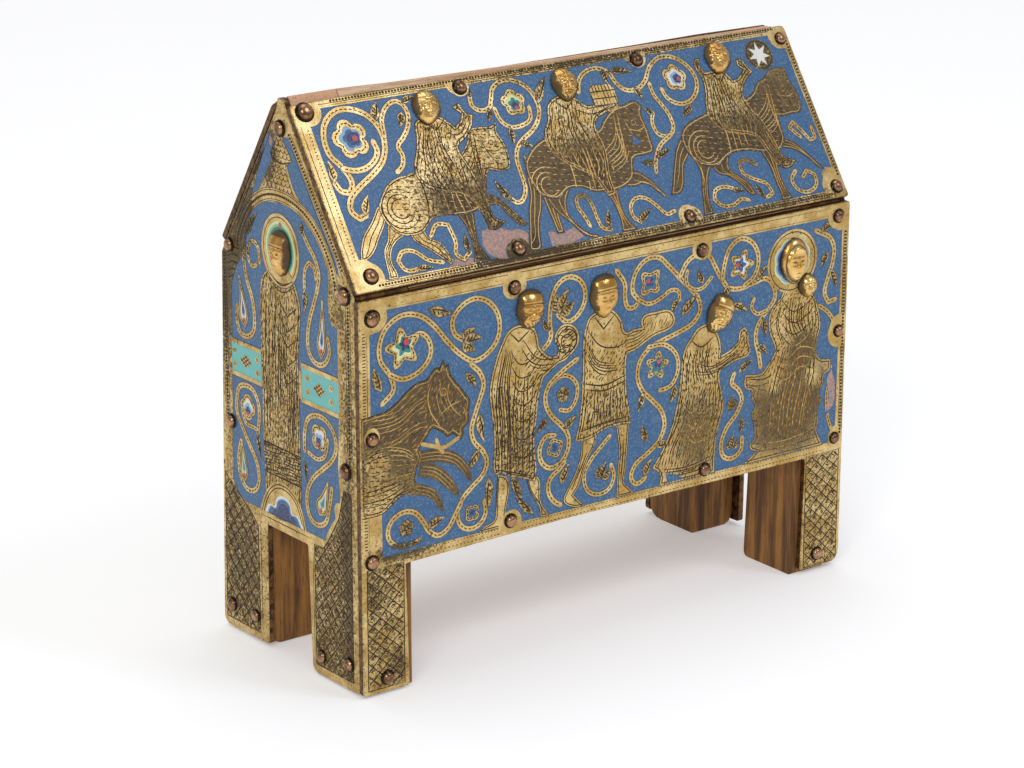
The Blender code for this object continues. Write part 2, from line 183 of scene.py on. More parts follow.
def unit(vectors: np.ndarray) -> np.ndarray:
    """Vectors made one long; those of no length stay so."""
    length = np.linalg.norm(vectors, axis=-1, keepdims=True)
    return vectors / np.where(length > 1e-9, length, 1.0)


def arc(centre: Pair, radius: float, start: float, turn: float) -> Path:
    """Part of a circle.

    Args:
        centre: its middle.
        radius: its radius.
        start: direction of its first point from the middle, in degrees.
        turn: how far it runs, in degrees, counter-clockwise if positive.

    Returns:
        The curve's points.
    """
    count = max(5, round(abs(math.radians(turn)) * radius / STEP))
    angle = np.radians(np.linspace(start, start + turn, count))
    return np.stack([centre[0] + radius * np.cos(angle), centre[1] + radius * np.sin(angle)], 1)


def lobes(centre: Pair, radius: float, count: int, depth: float, turn: float = 0.0) -> Path:
    """Closed outline of petals; depth is how far notches cut in, and a negative one makes a star."""
    angle = np.linspace(0, 2 * math.pi, max(20, round(radius * 7)), endpoint=False)
    half = count * (angle - math.radians(turn)) / 2
    petal = np.abs(np.cos(half)) ** 0.6 if depth >= 0 else 1 - np.abs(np.sin(half)) ** 1.5
    reach = radius * (1 - abs(depth) + abs(depth) * petal)
    return np.stack([centre[0] + reach * np.cos(angle), centre[1] + reach * np.sin(angle)], 1)


def normals(path: Path) -> Path:
    """Unit normals to the left of a path."""
    along = unit(np.gradient(path, axis=0))
    return np.stack([-along[:, 1], along[:, 0]], 1)


def ribbon(path: Path, width: float, tip: Tip = Tip.BOTH) -> Path:
    """Outline of a stroke of a width along a path."""
    t = np.linspace(0, 1, len(path))
    if tip is Tip.BOTH:
        swell = np.sqrt(np.clip(4 * t * (1 - t), 0, 1)) * 0.9 + 0.1
    elif tip is Tip.LAST:
        swell = np.sqrt(np.clip(1 - t**2, 0, 1)) * 0.92 + 0.08
    else:
        swell = np.ones(len(path))
    side = normals(path) * (width / 2 * swell)[:, None]
    left, right = path + side, (path - side)[::-1]
    if tip is Tip.ROUND:
        along = unit(path[-1] - path[-2]) * width / 2
        back = unit(path[0] - path[1]) * width / 2
        return np.vstack([left, path[-1] + along, right, path[0] + back])
    return np.vstack([left, right])


def area(path: Path) -> float:
    """Signed area of a closed outline."""
    x, y = path[:, 0], path[:, 1]
    return float(np.sum(x * np.roll(y, -1) - y * np.roll(x, -1)) / 2)


def inset(path: Path, depth: float) -> Path:
    """A closed outline moved inwards, corners mitred."""
    along = unit(np.roll(path, -1, axis=0) - path)
    before = np.roll(along, 1, axis=0)
    left = np.stack([-along[:, 1], along[:, 0]], 1) + np.stack([-before[:, 1], before[:, 0]], 1)
    share = np.clip(np.sum(left * left, axis=1, keepdims=True) / 2, 0.4, 2.0)
    side = 1.0 if area(path) > 0 else -1.0
    return path + side * depth * left / share


def moved(path: Points, at: Pair, turn: float = 0.0) -> Path:
    """A path turned (degrees) about the origin, then moved."""
    angle = math.radians(turn)
    matrix = np.array([[math.cos(angle), math.sin(angle)], [-math.sin(angle), math.cos(angle)]])
    return np.asarray(path, float) @ matrix + np.asarray(at)


def mirrored(path: Points, axis: float) -> Path:
    """A path mirrored left to right about the upright line at axis."""
    return np.asarray(path, float) * (-1, 1) + (2 * axis, 0)


def inside(outline: Path, spots: Path) -> np.ndarray:
    """Which spots an outline winds round."""
    x0, y0 = outline.T
    x1, y1 = np.roll(outline, -1, axis=0).T
    found = []
    for some in np.array_split(spots, len(spots) // BATCH + 1):
        x, y = some[:, :1], some[:, 1:]
        side = (x1 - x0) * (y - y0) - (x - x0) * (y1 - y0)
        up = (y0 <= y) & (y < y1) & (side > 0)
        down = (y1 <= y) & (y < y0) & (side < 0)
        found.append(up.sum(axis=1) != down.sum(axis=1))
    return np.concatenate(found)


# ---------------------------------------------------------------------------
# Drawing on a plate


@dataclass(frozen=True)
class Shape:
    """One painted area of a drawing. Later shapes lie over earlier ones."""

    outline: Path
    layer: Layer
    tint: Colour
    wear_and_reflection: float
    grime: float
    masks: tuple[Path, ...]


@dataclass(frozen=True)
class Blot:
    """A soft patch of the gilding: rubbed and dark where positive, kept bright where negative."""

    at: Pair
    radius: Pair
    wear_and_reflection: float = 0.0
    grime: float = 0.0


@dataclass
class Drawing:
    """A plate's picture, built up in order like a craftsman's: areas, then cells, then lines."""

    seed: int
    shapes: list[Shape] = field(default_factory=list)
    blots: list[Blot] = field(default_factory=list)
    wear_and_reflection: float = 0.0
    grime: float = 0.25
    masks: tuple[Path, ...] = ()

    def __post_init__(self) -> None:
        """Starts the drawing's own chance numbers."""
        self.chance = np.random.default_rng(self.seed)

    @contextmanager
    def within(self, outline: Path) -> Iterator[None]:
        """Keeps what is drawn in this block inside an outline, and inside those round the block."""
        before, self.masks = self.masks, (*self.masks, outline)
        yield
        self.masks = before

    @contextmanager
    def surface(self, wear_and_reflection: float, grime: float) -> Iterator[None]:
        """Draws this block on gilding rubbed and darkened by shares from 0 to 1."""
        before = self.wear_and_reflection, self.grime
        self.wear_and_reflection, self.grime = wear_and_reflection, grime
        yield
        self.wear_and_reflection, self.grime = before

    def area(self, outline: Points, layer: Layer, tint: Enamel = Enamel.BLUE) -> None:
        """Adds one closed area."""
        shape = Shape(np.asarray(outline, float), layer, tint.value, self.wear_and_reflection, self.grime, self.masks)
        self.shapes.append(shape)

    def metal(self, outline: Points) -> None:
        """Reserves an area of metal."""
        self.area(outline, Layer.METAL)

    def enamel(self, outline: Points, tint: Enamel = Enamel.BLUE) -> None:
        """Sinks an area for enamel."""
        self.area(outline, Layer.ENAMEL, tint)

    def reserve(self, outline: Path) -> None:
        """Reserves an area of metal with a dark joint round it."""
        self.enamel(inset(outline, -JOINT), Enamel.SHADE)
        self.metal(outline)

    def strap(self, path: Path, width: float, joint: float, tip: Tip = Tip.BLUNT) -> None:
        """Reserves a band of metal along a path, wider by joint where its dark joint lies."""
        self.enamel(ribbon(path, width + joint, tip), Enamel.SHADE)
        self.metal(ribbon(path, width, tip))

    def line(self, path: Path, width: float = HAIRLINE, tip: Tip = Tip.BOTH) -> None:
        """Engraves a line."""
        if len(path) > 1:
            self.area(ribbon(path, width, tip), Layer.LINE)

    def ring(self, outline: Path, width: float = HAIRLINE) -> None:
        """Engraves an even line all along a closed outline."""
        self.line(np.vstack([outline, outline[:1]]), width, Tip.BLUNT)

    def curve(self, points: Points, width: float = HAIRLINE, step: float = STEP) -> None:
        """Engraves a curve through points."""
        self.line(smooth(points, step=step), width)

    def dashes(self, path: Path, length: float, gap: float, width: float) -> None:
        """Engraves a broken line of even dashes along a path."""
        run = np.concatenate([[0], np.cumsum(np.linalg.norm(np.diff(path, axis=0), axis=1))])
        for start in np.arange(gap, run[-1] - length, length + gap):
            at = np.array([start, start + length])
            dash = np.stack([np.interp(at, run, path[:, k]) for k in (0, 1)], 1)
            self.line(dash, width, Tip.BLUNT)

    def hatch(
        self,
        outline: Points,
        angle: float,
        spacing: float,
        width: float = 0.3,
        dash: float = 6.0,
        wave: float = 0.25,
    ) -> None:
        """Fills an outline with rows of broken, slightly wavering engraved strokes.

        Args:
            outline: the area that the strokes stay in.
            angle: direction of the strokes, in degrees.
            spacing: distance between rows.
            width: a stroke's width.
            dash: mean length of a stroke.
            wave: how far strokes waver from their row.
        """
        outline = np.asarray(outline, float)
        middle = outline.mean(axis=0)
        local = moved(outline - middle, (0, 0), turn=-angle)
        low, high = local.min(axis=0), local.max(axis=0)
        with self.within(outline):
            for row in np.arange(low[1] + spacing / 2, high[1], spacing):
                x = low[0] - self.chance.uniform(0, dash)
                while x < high[0]:
                    length = dash * self.chance.uniform(0.5, 1.5)
                    xs = np.linspace(x, x + length, max(3, round(length / 1.6)))
                    shift = wave * self.chance.uniform(-1, 1)
                    ys = row + shift + wave * np.sin(xs * 0.7 + row)
                    spots = np.stack([xs, ys], 1)
                    stroke = moved(spots, middle, turn=angle)
                    if all(inside(mask, stroke).any() for mask in self.masks):
                        self.line(stroke, width)
                    x += length + self.chance.uniform(0.3, 1.0)

    def figure(self, points: Points, contour: float = 0.75, over: bool = False) -> Path:
        """Reserves a figure's silhouette with an engraved line running just inside its contour.

        Args:
            points: points of the silhouette.
            contour: how far in that line runs, in millimetres.
            over: True for a figure that lies over another, which a groove then parts from it.

        Returns:
            The silhouette's outline.
        """
        outline = smooth(points, closed=True)
        self.area(inset(outline, -JOINT), Layer.LINE if over else Layer.ENAMEL, Enamel.SHADE)
        self.metal(outline)
        inner = inset(outline, contour)
        with self.within(outline):
            self.ring(inner)
        return outline

    def folds(
        self, left: Points, right: Points, count: int, width: float = HAIRLINE, broken: float = 0.25
    ) -> None:
        """Engraves drapery lines that pass gradually from one edge line to the other.

        Args:
            left: first edge of the cloth, from top to bottom.
            right: its other edge, from top to bottom.
            count: number of lines between them.
            width: a line's greatest width.
            broken: share of the lines that stop short.
        """
        first, last = smooth(left, step=1.0), smooth(right, step=1.0)
        t = np.linspace(0, 1, 24)
        edges = [
            np.stack([np.interp(t, np.linspace(0, 1, len(edge)), edge[:, k]) for k in (0, 1)], 1)
            for edge in (first, last)
        ]
        for k in range(count):
            share = (k + 0.5 + self.chance.uniform(-0.22, 0.22)) / count
            path = edges[0] * (1 - share) + edges[1] * share
            path[:, 0] += 0.22 * np.sin(t * self.chance.uniform(5, 11) + k)
            start, end = 0, len(path)
            if self.chance.uniform() < broken:
                start, end = sorted(self.chance.choice(np.arange(0, 25, 4), 2, replace=False))
            if end - start > 3:
                self.line(path[start:end], width * self.chance.uniform(0.7, 1.15))

    def stem(self, points: Points, width: float = 1.75) -> None:
        """Reserves a stem through points, with a dotted line along its middle."""
        path = smooth(points)
        self.strap(path, width, 0.5, Tip.ROUND)
        self.dashes(path, 1.1, 0.6, 0.36)

    def leaf(self, base: Pair, tip: Pair, width: float) -> None:
        """Reserves a pointed leaf with a midrib and short side veins; a negative width bends it back."""
        start, end = np.asarray(base, float), np.asarray(tip, float)
        along = end - start
        side = np.array([-along[1], along[0]]) / np.hypot(*along) * width * 1.25
        belly = [start, start + 0.3 * along + 0.62 * side, start + 0.62 * along + 0.5 * side, end]
        back = [start + 0.66 * along - 0.18 * side, start + 0.3 * along - 0.38 * side]
        outline = smooth(belly + back, closed=True)
        self.enamel(inset(outline, -0.25), Enamel.SHADE)
        with self.surface(0.12, 0.6):
            self.metal(outline)
        for t in (0.2, 0.38, 0.56):
            root = start + t * along + 0.06 * side
            self.line(np.array([root, root + 0.1 * along + 0.34 * side]), 0.45, Tip.BLUNT)
        rib = smooth([start + 0.12 * along, start + 0.5 * along - 0.08 * side, start + 0.88 * along])
        self.line(rib, 0.55)

    def leaves(self, *rows: tuple[Pair, Pair, float]) -> None:
        """Reserves several leaves, each given as (base, tip, width)."""
        for base, tip, width in rows:
            self.leaf(base, tip, width)

    def trident(self, at: Pair, turn: float, size: float) -> None:
        """Reserves a half palmette: three leaves spreading from one point."""
        for spread, reach, width in ((38, 0.8, 0.42), (-38, 0.8, -0.42), (0, 1.0, 0.36)):
            angle = math.radians(turn + spread)
            tip = (at[0] + reach * size * math.cos(angle), at[1] + reach * size * math.sin(angle))
            self.leaf(at, tip, width * size)

    def fleuron(
        self,
        at: Pair,
        radius: float,
        petals: int,
        turn: float,
        tints: Sequence[Enamel],
        eye: Pair | None = None,
        depth: float = 0.34,
    ) -> None:
        """Sets a flower: a metal contour, then enamel rings from the rim to the heart.

        Args:
            at: its middle.
            radius: its reach.
            petals: number of petals.
            turn: direction of the first petal, in degrees.
            tints: enamel from the rim inwards.
            eye: middle of a small red cell, or None.
            depth: how far the notches between the petals cut in, as for lobes.
        """
        self.enamel(lobes(at, radius + JOINT, petals, depth, turn), Enamel.SHADE)
        self.metal(lobes(at, radius, petals, depth, turn))
        rim = lobes(at, radius * 0.82, petals, depth, turn)
        self.dashes(np.vstack([rim, rim[:1]]), 1.1, 0.4, 0.4)
        pull = np.zeros(2) if eye is None else (np.array(eye) - at) * 0.3
        for k, tint in enumerate(tints):
            share = 0.64 - 0.28 * k / max(1, len(tints) - 1)
            self.enamel(lobes(tuple(at + pull * k), radius * share, petals, depth, turn), tint)
        if eye is not None:
            self.enamel(lobes(eye, radius * 0.15, 1, 0.0), Enamel.RED)

    def rosette(self, at: Pair, radius: float, petals: int = 5) -> None:
        """Reserves a small flower with engraved petals."""
        self.enamel(lobes(at, radius + JOINT, petals, 0.28, 20), Enamel.SHADE)
        with self.surface(0.3, 0.7):
            self.metal(lobes(at, radius, petals, 0.28, 20))
        for k in range(petals):
            angle = math.radians(20 + 360 * (k + 0.5) / petals)
            out = np.array([math.cos(angle), math.sin(angle)])
            self.line(np.array([at + 0.25 * radius * out, at + 0.75 * radius * out]), 0.4, Tip.BLUNT)
        self.line(arc(at, radius * 0.3, 0, 360), 0.26, Tip.BLUNT)


def shown(name: str, data: bpy.types.ID) -> bpy.types.Object:
    """Makes an object of a mesh, light or camera and links it to the scene."""
    thing = bpy.data.objects.new(name, data)
    bpy.context.scene.collection.objects.link(thing)
    return thing


# ---------------------------------------------------------------------------
# Plates


@dataclass(frozen=True)
class PlateFace:
    """The outer face of a plate, as the frame its picture is laid out in."""

    node: str
    origin: Vector
    across: Vector
    up: Vector
    out: Vector
    outline: Path

    @classmethod
    def of(cls, node: str, across: Vector, out: Vector, datum: Pair = (0.0, 0.0)) -> "PlateFace":
        """Reads a plate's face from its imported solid.

        Args:
            node: the plate's node.
            across: direction of the drawing's first axis.
            out: roughly the way the face looks.
            datum: drawing coordinates of the face's lowest corner, in millimetres.

        Returns:
            The face.
        """
        mesh = bmesh.new()
        mesh.from_mesh(bpy.data.objects[node].data)
        bmesh.ops.remove_doubles(mesh, verts=mesh.verts, dist=WELD)
        front = [face for face in mesh.faces if face.normal.dot(out) > FACING]
        normal = sum((face.normal * face.calc_area() for face in front), Vector()).normalized()
        across = (across - normal * across.dot(normal)).normalized()
        up = normal.cross(across)
        facing = set(front)
        rim = [edge for edge in mesh.edges if sum(face in facing for face in edge.link_faces) == 1]
        loop = max(cls._loops(rim), key=len)
        flat = np.array([(vert.co.dot(across), vert.co.dot(up)) for vert in loop]) / MM
        if area(flat) < 0:
            flat = flat[::-1]
        corner = flat.min(axis=0) - np.asarray(datum)
        depth = front[0].verts[0].co.dot(normal)
        mesh.free()
        origin = across * corner[0] * MM + up * corner[1] * MM + normal * depth
        return cls(node, origin, across, up, normal, flat - corner)

    @staticmethod
    def _loops(edges: list[bmesh.types.BMEdge]) -> list[list[bmesh.types.BMVert]]:
        """Closed rings of vertices that edges form."""
        links: dict[bmesh.types.BMVert, list[bmesh.types.BMVert]] = {}
        for edge in edges:
            first, last = edge.verts
            links.setdefault(first, []).append(last)
            links.setdefault(last, []).append(first)
        rings = []
        while links:
            start = next(iter(links))
            ring, here = [start], start
            while links.get(here):
                after = links[here].pop()
                links[after].remove(here)
                if after is start:
                    break
                ring.append(after)
                here = after
            for vert in ring:
                if not links.get(vert):
                    links.pop(vert, None)
            rings.append(ring)
        return rings

    def place(self, path: Path, depth: float | np.ndarray = 0.0) -> np.ndarray:
        """World positions of drawing points lying a depth (mm) below the face."""
        across, up, out = (np.array(v) for v in (self.across, self.up, self.out))
        sunk = np.broadcast_to(np.asarray(depth, float), (len(path),))
        flat = np.outer(path[:, 0], across) + np.outer(path[:, 1], up) - np.outer(sunk, out)
        return np.array(self.origin) + MM * flat

    def locate(self, node: str, turn: float = 0.0) -> tuple[Pair, Pair]:
        """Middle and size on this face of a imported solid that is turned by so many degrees."""
        spots = np.array([vert.co for vert in bpy.data.objects[node].data.vertices]) - np.array(self.origin)
        flat = np.column_stack([spots @ np.array(self.across), spots @ np.array(self.up)]) / MM
        upright = moved(flat, (0, 0), turn=-turn)
        low, high = upright.min(axis=0), upright.max(axis=0)
        middle = moved([(low + high) / 2], (0, 0), turn=turn)[0]
        return (float(middle[0]), float(middle[1])), (float(high[0] - low[0]), float(high[1] - low[1]))

    def matrix(self, at: Pair, height: float = 0.0, turn: float = 0.0) -> Matrix:
        """Matrix of a piece set on the face: X runs across, Y up and Z out of it."""
        frame = Matrix((self.across, self.up, self.out)).transposed().to_4x4()
        frame.translation = Vector(self.place(np.array([at], float), -height)[0])
        return frame @ Matrix.Rotation(math.radians(turn), 4, "Z")


@dataclass
class ReliefPlate:
    """A copper plate whose face carries a drawing as real relief."""

    name: str
    face: PlateFace
    drawing: Drawing
    rounding: tuple[Pair, ...] = ((0.3, 0.02), (0.72, 0.1), (1.0, 0.32))  # (share of EDGE out, mm down)
    bare: Pair = (0.15, 0.5)  # rubbing and grime of sides and back

    def build(self, looks: Sequence[bpy.types.Material]) -> bpy.types.Object:
        """Makes the plate's closed mesh.

        Args:
            looks: finishes of metal, enamel, engraving, losses and bare edges, in that order.

        Returns:
            The plate's object.
        """
        spots, triangles = self._triangles()
        layer, tint, state = self._paint(spots[triangles].mean(axis=1))
        corners, faces, owner = self._terraces(spots, triangles, layer)
        material = [int(layer[k]) for k in owner]
        side_corners, side_faces, side_look = self._sides(spots, triangles, corners)
        places = self.face.place(
            np.vstack([spots[[v for v, _ in corners]], side_corners[:, :2]]),
            np.concatenate([[LAYERS[k].value for _, k in corners], side_corners[:, 2]]),
        )
        mesh = bpy.data.meshes.new(self.name)
        mesh.from_pydata(places.tolist(), [], faces + side_faces)
        mesh.polygons.foreach_set("material_index", material + side_look)
        for look in looks:
            mesh.materials.append(look)
        owners = np.array(owner + [0] * len(side_faces))
        totals = np.array([len(face) for face in faces + side_faces])
        loops = np.repeat(owners, totals)
        ends = [corners[v][0] if v < len(corners) else 0 for face in faces + side_faces for v in face]
        state = np.clip(state[loops] + self._blots(spots[ends]), 0, 1)
        state[np.repeat(np.arange(len(totals)), totals) >= len(faces)] = self.bare
        colours = np.column_stack([tint[loops], state[:, 0]])
        mesh.attributes.new("cell", "FLOAT_COLOR", "CORNER").data.foreach_set("color", colours.ravel())
        mesh.attributes.new("grime", "FLOAT", "CORNER").data.foreach_set("value", state[:, 1])
        mesh.validate()
        return shown(self.name, mesh)

    def _triangles(self) -> tuple[np.ndarray, np.ndarray]:
        """Triangles of the whole face, with every outline of the drawing among their edges."""
        rim = inset(self.face.outline, EDGE)
        points: list[Vector] = []
        edges: list[tuple[int, int]] = []
        for outline in [rim, *(shape.outline for shape in self.drawing.shapes)]:
            first, count = len(points), len(outline)
            points.extend(Vector(spot) for spot in outline)
            edges.extend((first + k, first + (k + 1) % count) for k in range(count))
        found = delaunay_2d_cdt(points, edges, [], 0, MERGE, False)
        spots = np.array([tuple(spot) for spot in found[0]])
        triangles = np.array([tuple(face) for face in found[2]])
        kept = inside(rim, spots[triangles].mean(axis=1))
        return spots, triangles[kept]

    def _paint(self, middles: Path) -> tuple[np.ndarray, np.ndarray, np.ndarray]:
        """Layer, enamel colour and (rubbing, darkening) of each triangle, from the last shape over it."""
        layer = np.zeros(len(middles), int)
        tint = np.tile(Enamel.BLUE.value, (len(middles), 1))
        state = np.tile((0.0, 0.3), (len(middles), 1))
        order = np.argsort(middles[:, 0])
        along = middles[order, 0]
        for shape in self.drawing.shapes:
            low, high = shape.outline.min(axis=0), shape.outline.max(axis=0)
            near = order[slice(*np.searchsorted(along, (low[0], high[0])))]
            near = near[(middles[near, 1] >= low[1]) & (middles[near, 1] <= high[1])]
            near = near[inside(shape.outline, middles[near])]
            for mask in shape.masks:
                near = near[inside(mask, middles[near])]
            layer[near] = LAYERS.index(shape.layer)
            tint[near] = shape.tint
            if shape.layer is not Layer.LINE:
                state[near] = (shape.wear_and_reflection, shape.grime)
        return layer, tint, state

    def _blots(self, spots: Path) -> np.ndarray:
        """Rubbing and grime that soft patches add at spots."""
        total = np.zeros((len(spots), 2))
        for blot in self.drawing.blots:
            reach = (((spots - blot.at) / blot.radius) ** 2).sum(axis=1)
            total += np.outer(np.exp(-reach), (blot.wear_and_reflection, blot.grime))
        return total

    @staticmethod
    def _terraces(
        spots: Path, triangles: np.ndarray, layer: np.ndarray
    ) -> tuple[list[tuple[int, int]], list[list[int]], list[int]]:
        """Faces at their layers' depths, with upright walls between layers.

        Returns:
            The corners as (spot, layer) pairs, the faces and the triangle each face belongs to.
        """
        keys = triangles * len(LAYERS) + layer[:, None]
        used, place = np.unique(keys, return_inverse=True)
        place = place.reshape(triangles.shape)
        corners = [(int(key) // len(LAYERS), int(key) % len(LAYERS)) for key in used]
        number = {corner: k for k, corner in enumerate(corners)}
        faces = place.tolist()
        owner = list(range(len(triangles)))
        start = triangles.ravel()
        end = np.roll(triangles, -1, axis=1).ravel()
        side = np.repeat(np.arange(len(triangles)), 3)
        edge = np.minimum(start, end) * len(spots) + np.maximum(start, end)
        order = np.argsort(edge, kind="stable")
        pairs = np.flatnonzero(edge[order][1:] == edge[order][:-1])
        for first, second in zip(order[pairs], order[pairs + 1]):
            high, low = first, second
            if layer[side[first]] == layer[side[second]]:
                continue
            if layer[side[first]] > layer[side[second]]:
                high, low = second, first
            top, bottom = int(layer[side[high]]), int(layer[side[low]])
            i, j = int(start[high]), int(end[high])
            down = [number[i, k] for k in range(top, bottom + 1) if (i, k) in number]
            back = [number[j, k] for k in range(bottom, top - 1, -1) if (j, k) in number]
            faces.append(down + back)
            groove = LAYERS[bottom] is Layer.LINE
            owner.append(int(side[low if groove else high]))
        return corners, faces, owner

    def _sides(
        self, spots: Path, triangles: np.ndarray, corners: list[tuple[int, int]]
    ) -> tuple[np.ndarray, list[list[int]], list[int]]:
        """Rounded edge, side and back of the plate.

        Returns:
            New corners as (across, up, depth) rows, their faces and each face's finish.
        """
        start = triangles.ravel()
        end = np.roll(triangles, -1, axis=1).ravel()
        known = set(zip(start.tolist(), end.tolist()))
        follow = {i: j for i, j in known if (j, i) not in known}
        ring = [next(iter(follow))]
        while follow[ring[-1]] != ring[0]:
            ring.append(follow[ring[-1]])
        number = {}
        for k, (spot, level) in enumerate(corners):
            number.setdefault(spot, k)
            if level < corners[number[spot]][1]:
                number[spot] = k
        rim = spots[ring]
        rows = [
            np.column_stack([inset(rim, -EDGE * out), np.full(len(rim), down)])
            for out, down in self.rounding
        ]
        rows.append(np.column_stack([rows[-1][:, :2], np.full(len(rim), PLATE)]))
        first, count = len(corners), len(ring)
        levels = [[number[spot] for spot in ring]]
        levels += [[first + row * count + k for k in range(count)] for row in range(len(rows))]
        faces, looks = [], []
        for row, (upper, lower) in enumerate(zip(levels, levels[1:])):
            for k in range(count):
                after = (k + 1) % count
                faces.append([upper[k], lower[k], lower[after], upper[after]])
                looks.append(0 if row < len(self.rounding) else len(LAYERS))
        faces.append(levels[-1][::-1])
        looks.append(len(LAYERS))
        return np.vstack(rows), faces, looks


# ---------------------------------------------------------------------------
# Finishes


@dataclass(frozen=True)
class Value:
    """A shader socket that ordinary arithmetic builds on."""

    graph: "Graph"
    socket: bpy.types.NodeSocket

    def _math(self, operation: str, *others: "Value | float", first: "float | None" = None) -> "Value":
        """Joins this value and others through a Math node."""
        values = [self, *others] if first is None else [first, self]
        return self.graph.add("ShaderNodeMath", {"operation": operation}, dict(enumerate(values)))

    def __add__(self, other: "Value | float") -> "Value":
        """Value + other."""
        return self._math("ADD", other)

    def __radd__(self, other: float) -> "Value":
        """Number + value."""
        return self._math("ADD", other)

    def __sub__(self, other: "Value | float") -> "Value":
        """Value - other."""
        return self._math("SUBTRACT", other)

    def __rsub__(self, other: float) -> "Value":
        """Number - value."""
        return self._math("SUBTRACT", first=other)

    def __mul__(self, other: "Value | float") -> "Value":
        """Value * other."""
        return self._math("MULTIPLY", other)

    def __rmul__(self, other: float) -> "Value":
        """Number * value."""
        return self._math("MULTIPLY", other)

    def clipped(self, low: float, high: float) -> "Value":
        """This value stretched so that low gives 0 and high gives 1, and held between them."""
        return self.graph.add(
            "ShaderNodeMapRange",
            {"interpolation_type": "SMOOTHSTEP"},
            {"Value": self, "From Min": low, "From Max": high},
        )


def new_node(
    tree: bpy.types.NodeTree,
    kind: str,
    settings: dict[str, object] | None = None,
    sockets: dict[str | int, object] | None = None,
) -> bpy.types.Node:
    """Adds a node to a tree.

    Args:
        tree: the tree.
        kind: the node's type.
        settings: its properties, set first.
        sockets: its inputs by name or number, each a socket or Value to link, or a plain value.

    Returns:
        The node.
    """
    node = tree.nodes.new(kind)
    for key, setting in (settings or {}).items():
        setattr(node, key, setting)
    for key, given in (sockets or {}).items():
        source = given.socket if isinstance(given, Value) else given
        if isinstance(source, bpy.types.NodeSocket):
            tree.links.new(source, node.inputs[key])
        elif source is not None:
            node.inputs[key].default_value = source
    return node


class Graph:
    """One material's node tree."""

    def __init__(self, name: str) -> None:
        """Starts an empty material.

        Args:
            name: the material's name.
        """
        self.material = bpy.data.materials.new(name)
        self.material.use_nodes = True
        self.tree = self.material.node_tree
        self.tree.nodes.clear()

    def add(
        self,
        kind: str,
        settings: dict[str, object] | None = None,
        sockets: dict[str | int, object] | None = None,
        output: str | int = 0,
    ) -> Value:
        """Adds a node as new_node does, and gives the output of that name or number."""
        return Value(self, new_node(self.tree, kind, settings, sockets).outputs[output])

    def carried(self, name: str, output: str = "Fac") -> Value:
        """What a mesh attribute carries over the surface."""
        return self.add("ShaderNodeAttribute", {"attribute_name": name}, None, output)

    def coordinates(self, stretch: Colour = (1.0, 1.0, 1.0)) -> Value:
        """Object coordinates in millimetres, stretched along the axes."""
        place = self.add("ShaderNodeTexCoord", output="Object")
        scale = tuple(value / MM for value in stretch)
        return self.add("ShaderNodeVectorMath", {"operation": "MULTIPLY"}, {0: place, 1: scale})

    def noise(
        self,
        scale: float,
        detail: float = 3.0,
        roughness: float = 0.55,
        stretch: Colour = (1.0, 1.0, 1.0),
        distortion: float = 0.0,
    ) -> Value:
        """Noise with so many features to the millimetre."""
        sockets = {
            "Vector": self.coordinates(stretch),
            "Scale": scale,
            "Detail": detail,
            "Roughness": roughness,
            "Distortion": distortion,
        }
        return self.add("ShaderNodeTexNoise", None, sockets, "Fac")

    def mix(self, share: Value | float, first: Value | Colour, last: Value | Colour) -> Value:
        """Colour between first and last."""
        ends = [end if isinstance(end, Value) else (*end, 1.0) for end in (first, last)]
        return self.add(
            "ShaderNodeMix", {"data_type": "RGBA"}, {0: share, 6: ends[0], 7: ends[1]}, output=2
        )

    def bump(self, height: Value, distance: float) -> Value:
        """Normals of a surface that a height field disturbs by a distance in millimetres."""
        return self.add("ShaderNodeBump", None, {"Height": height, "Distance": distance * MM})

    def finish(self, **sockets: object) -> bpy.types.Material:
        """Ends in a Principled surface. Underscores in names stand for spaces.

        Returns:
            The material.
        """
        named = {key.replace("_", " "): given for key, given in sockets.items()}
        for key, given in named.items():
            if isinstance(given, tuple):
                named[key] = (*given, 1.0)
        surface = self.add("ShaderNodeBsdfPrincipled", None, named)
        new_node(self.tree, "ShaderNodeOutputMaterial", None, {"Surface": surface})
        return self.material


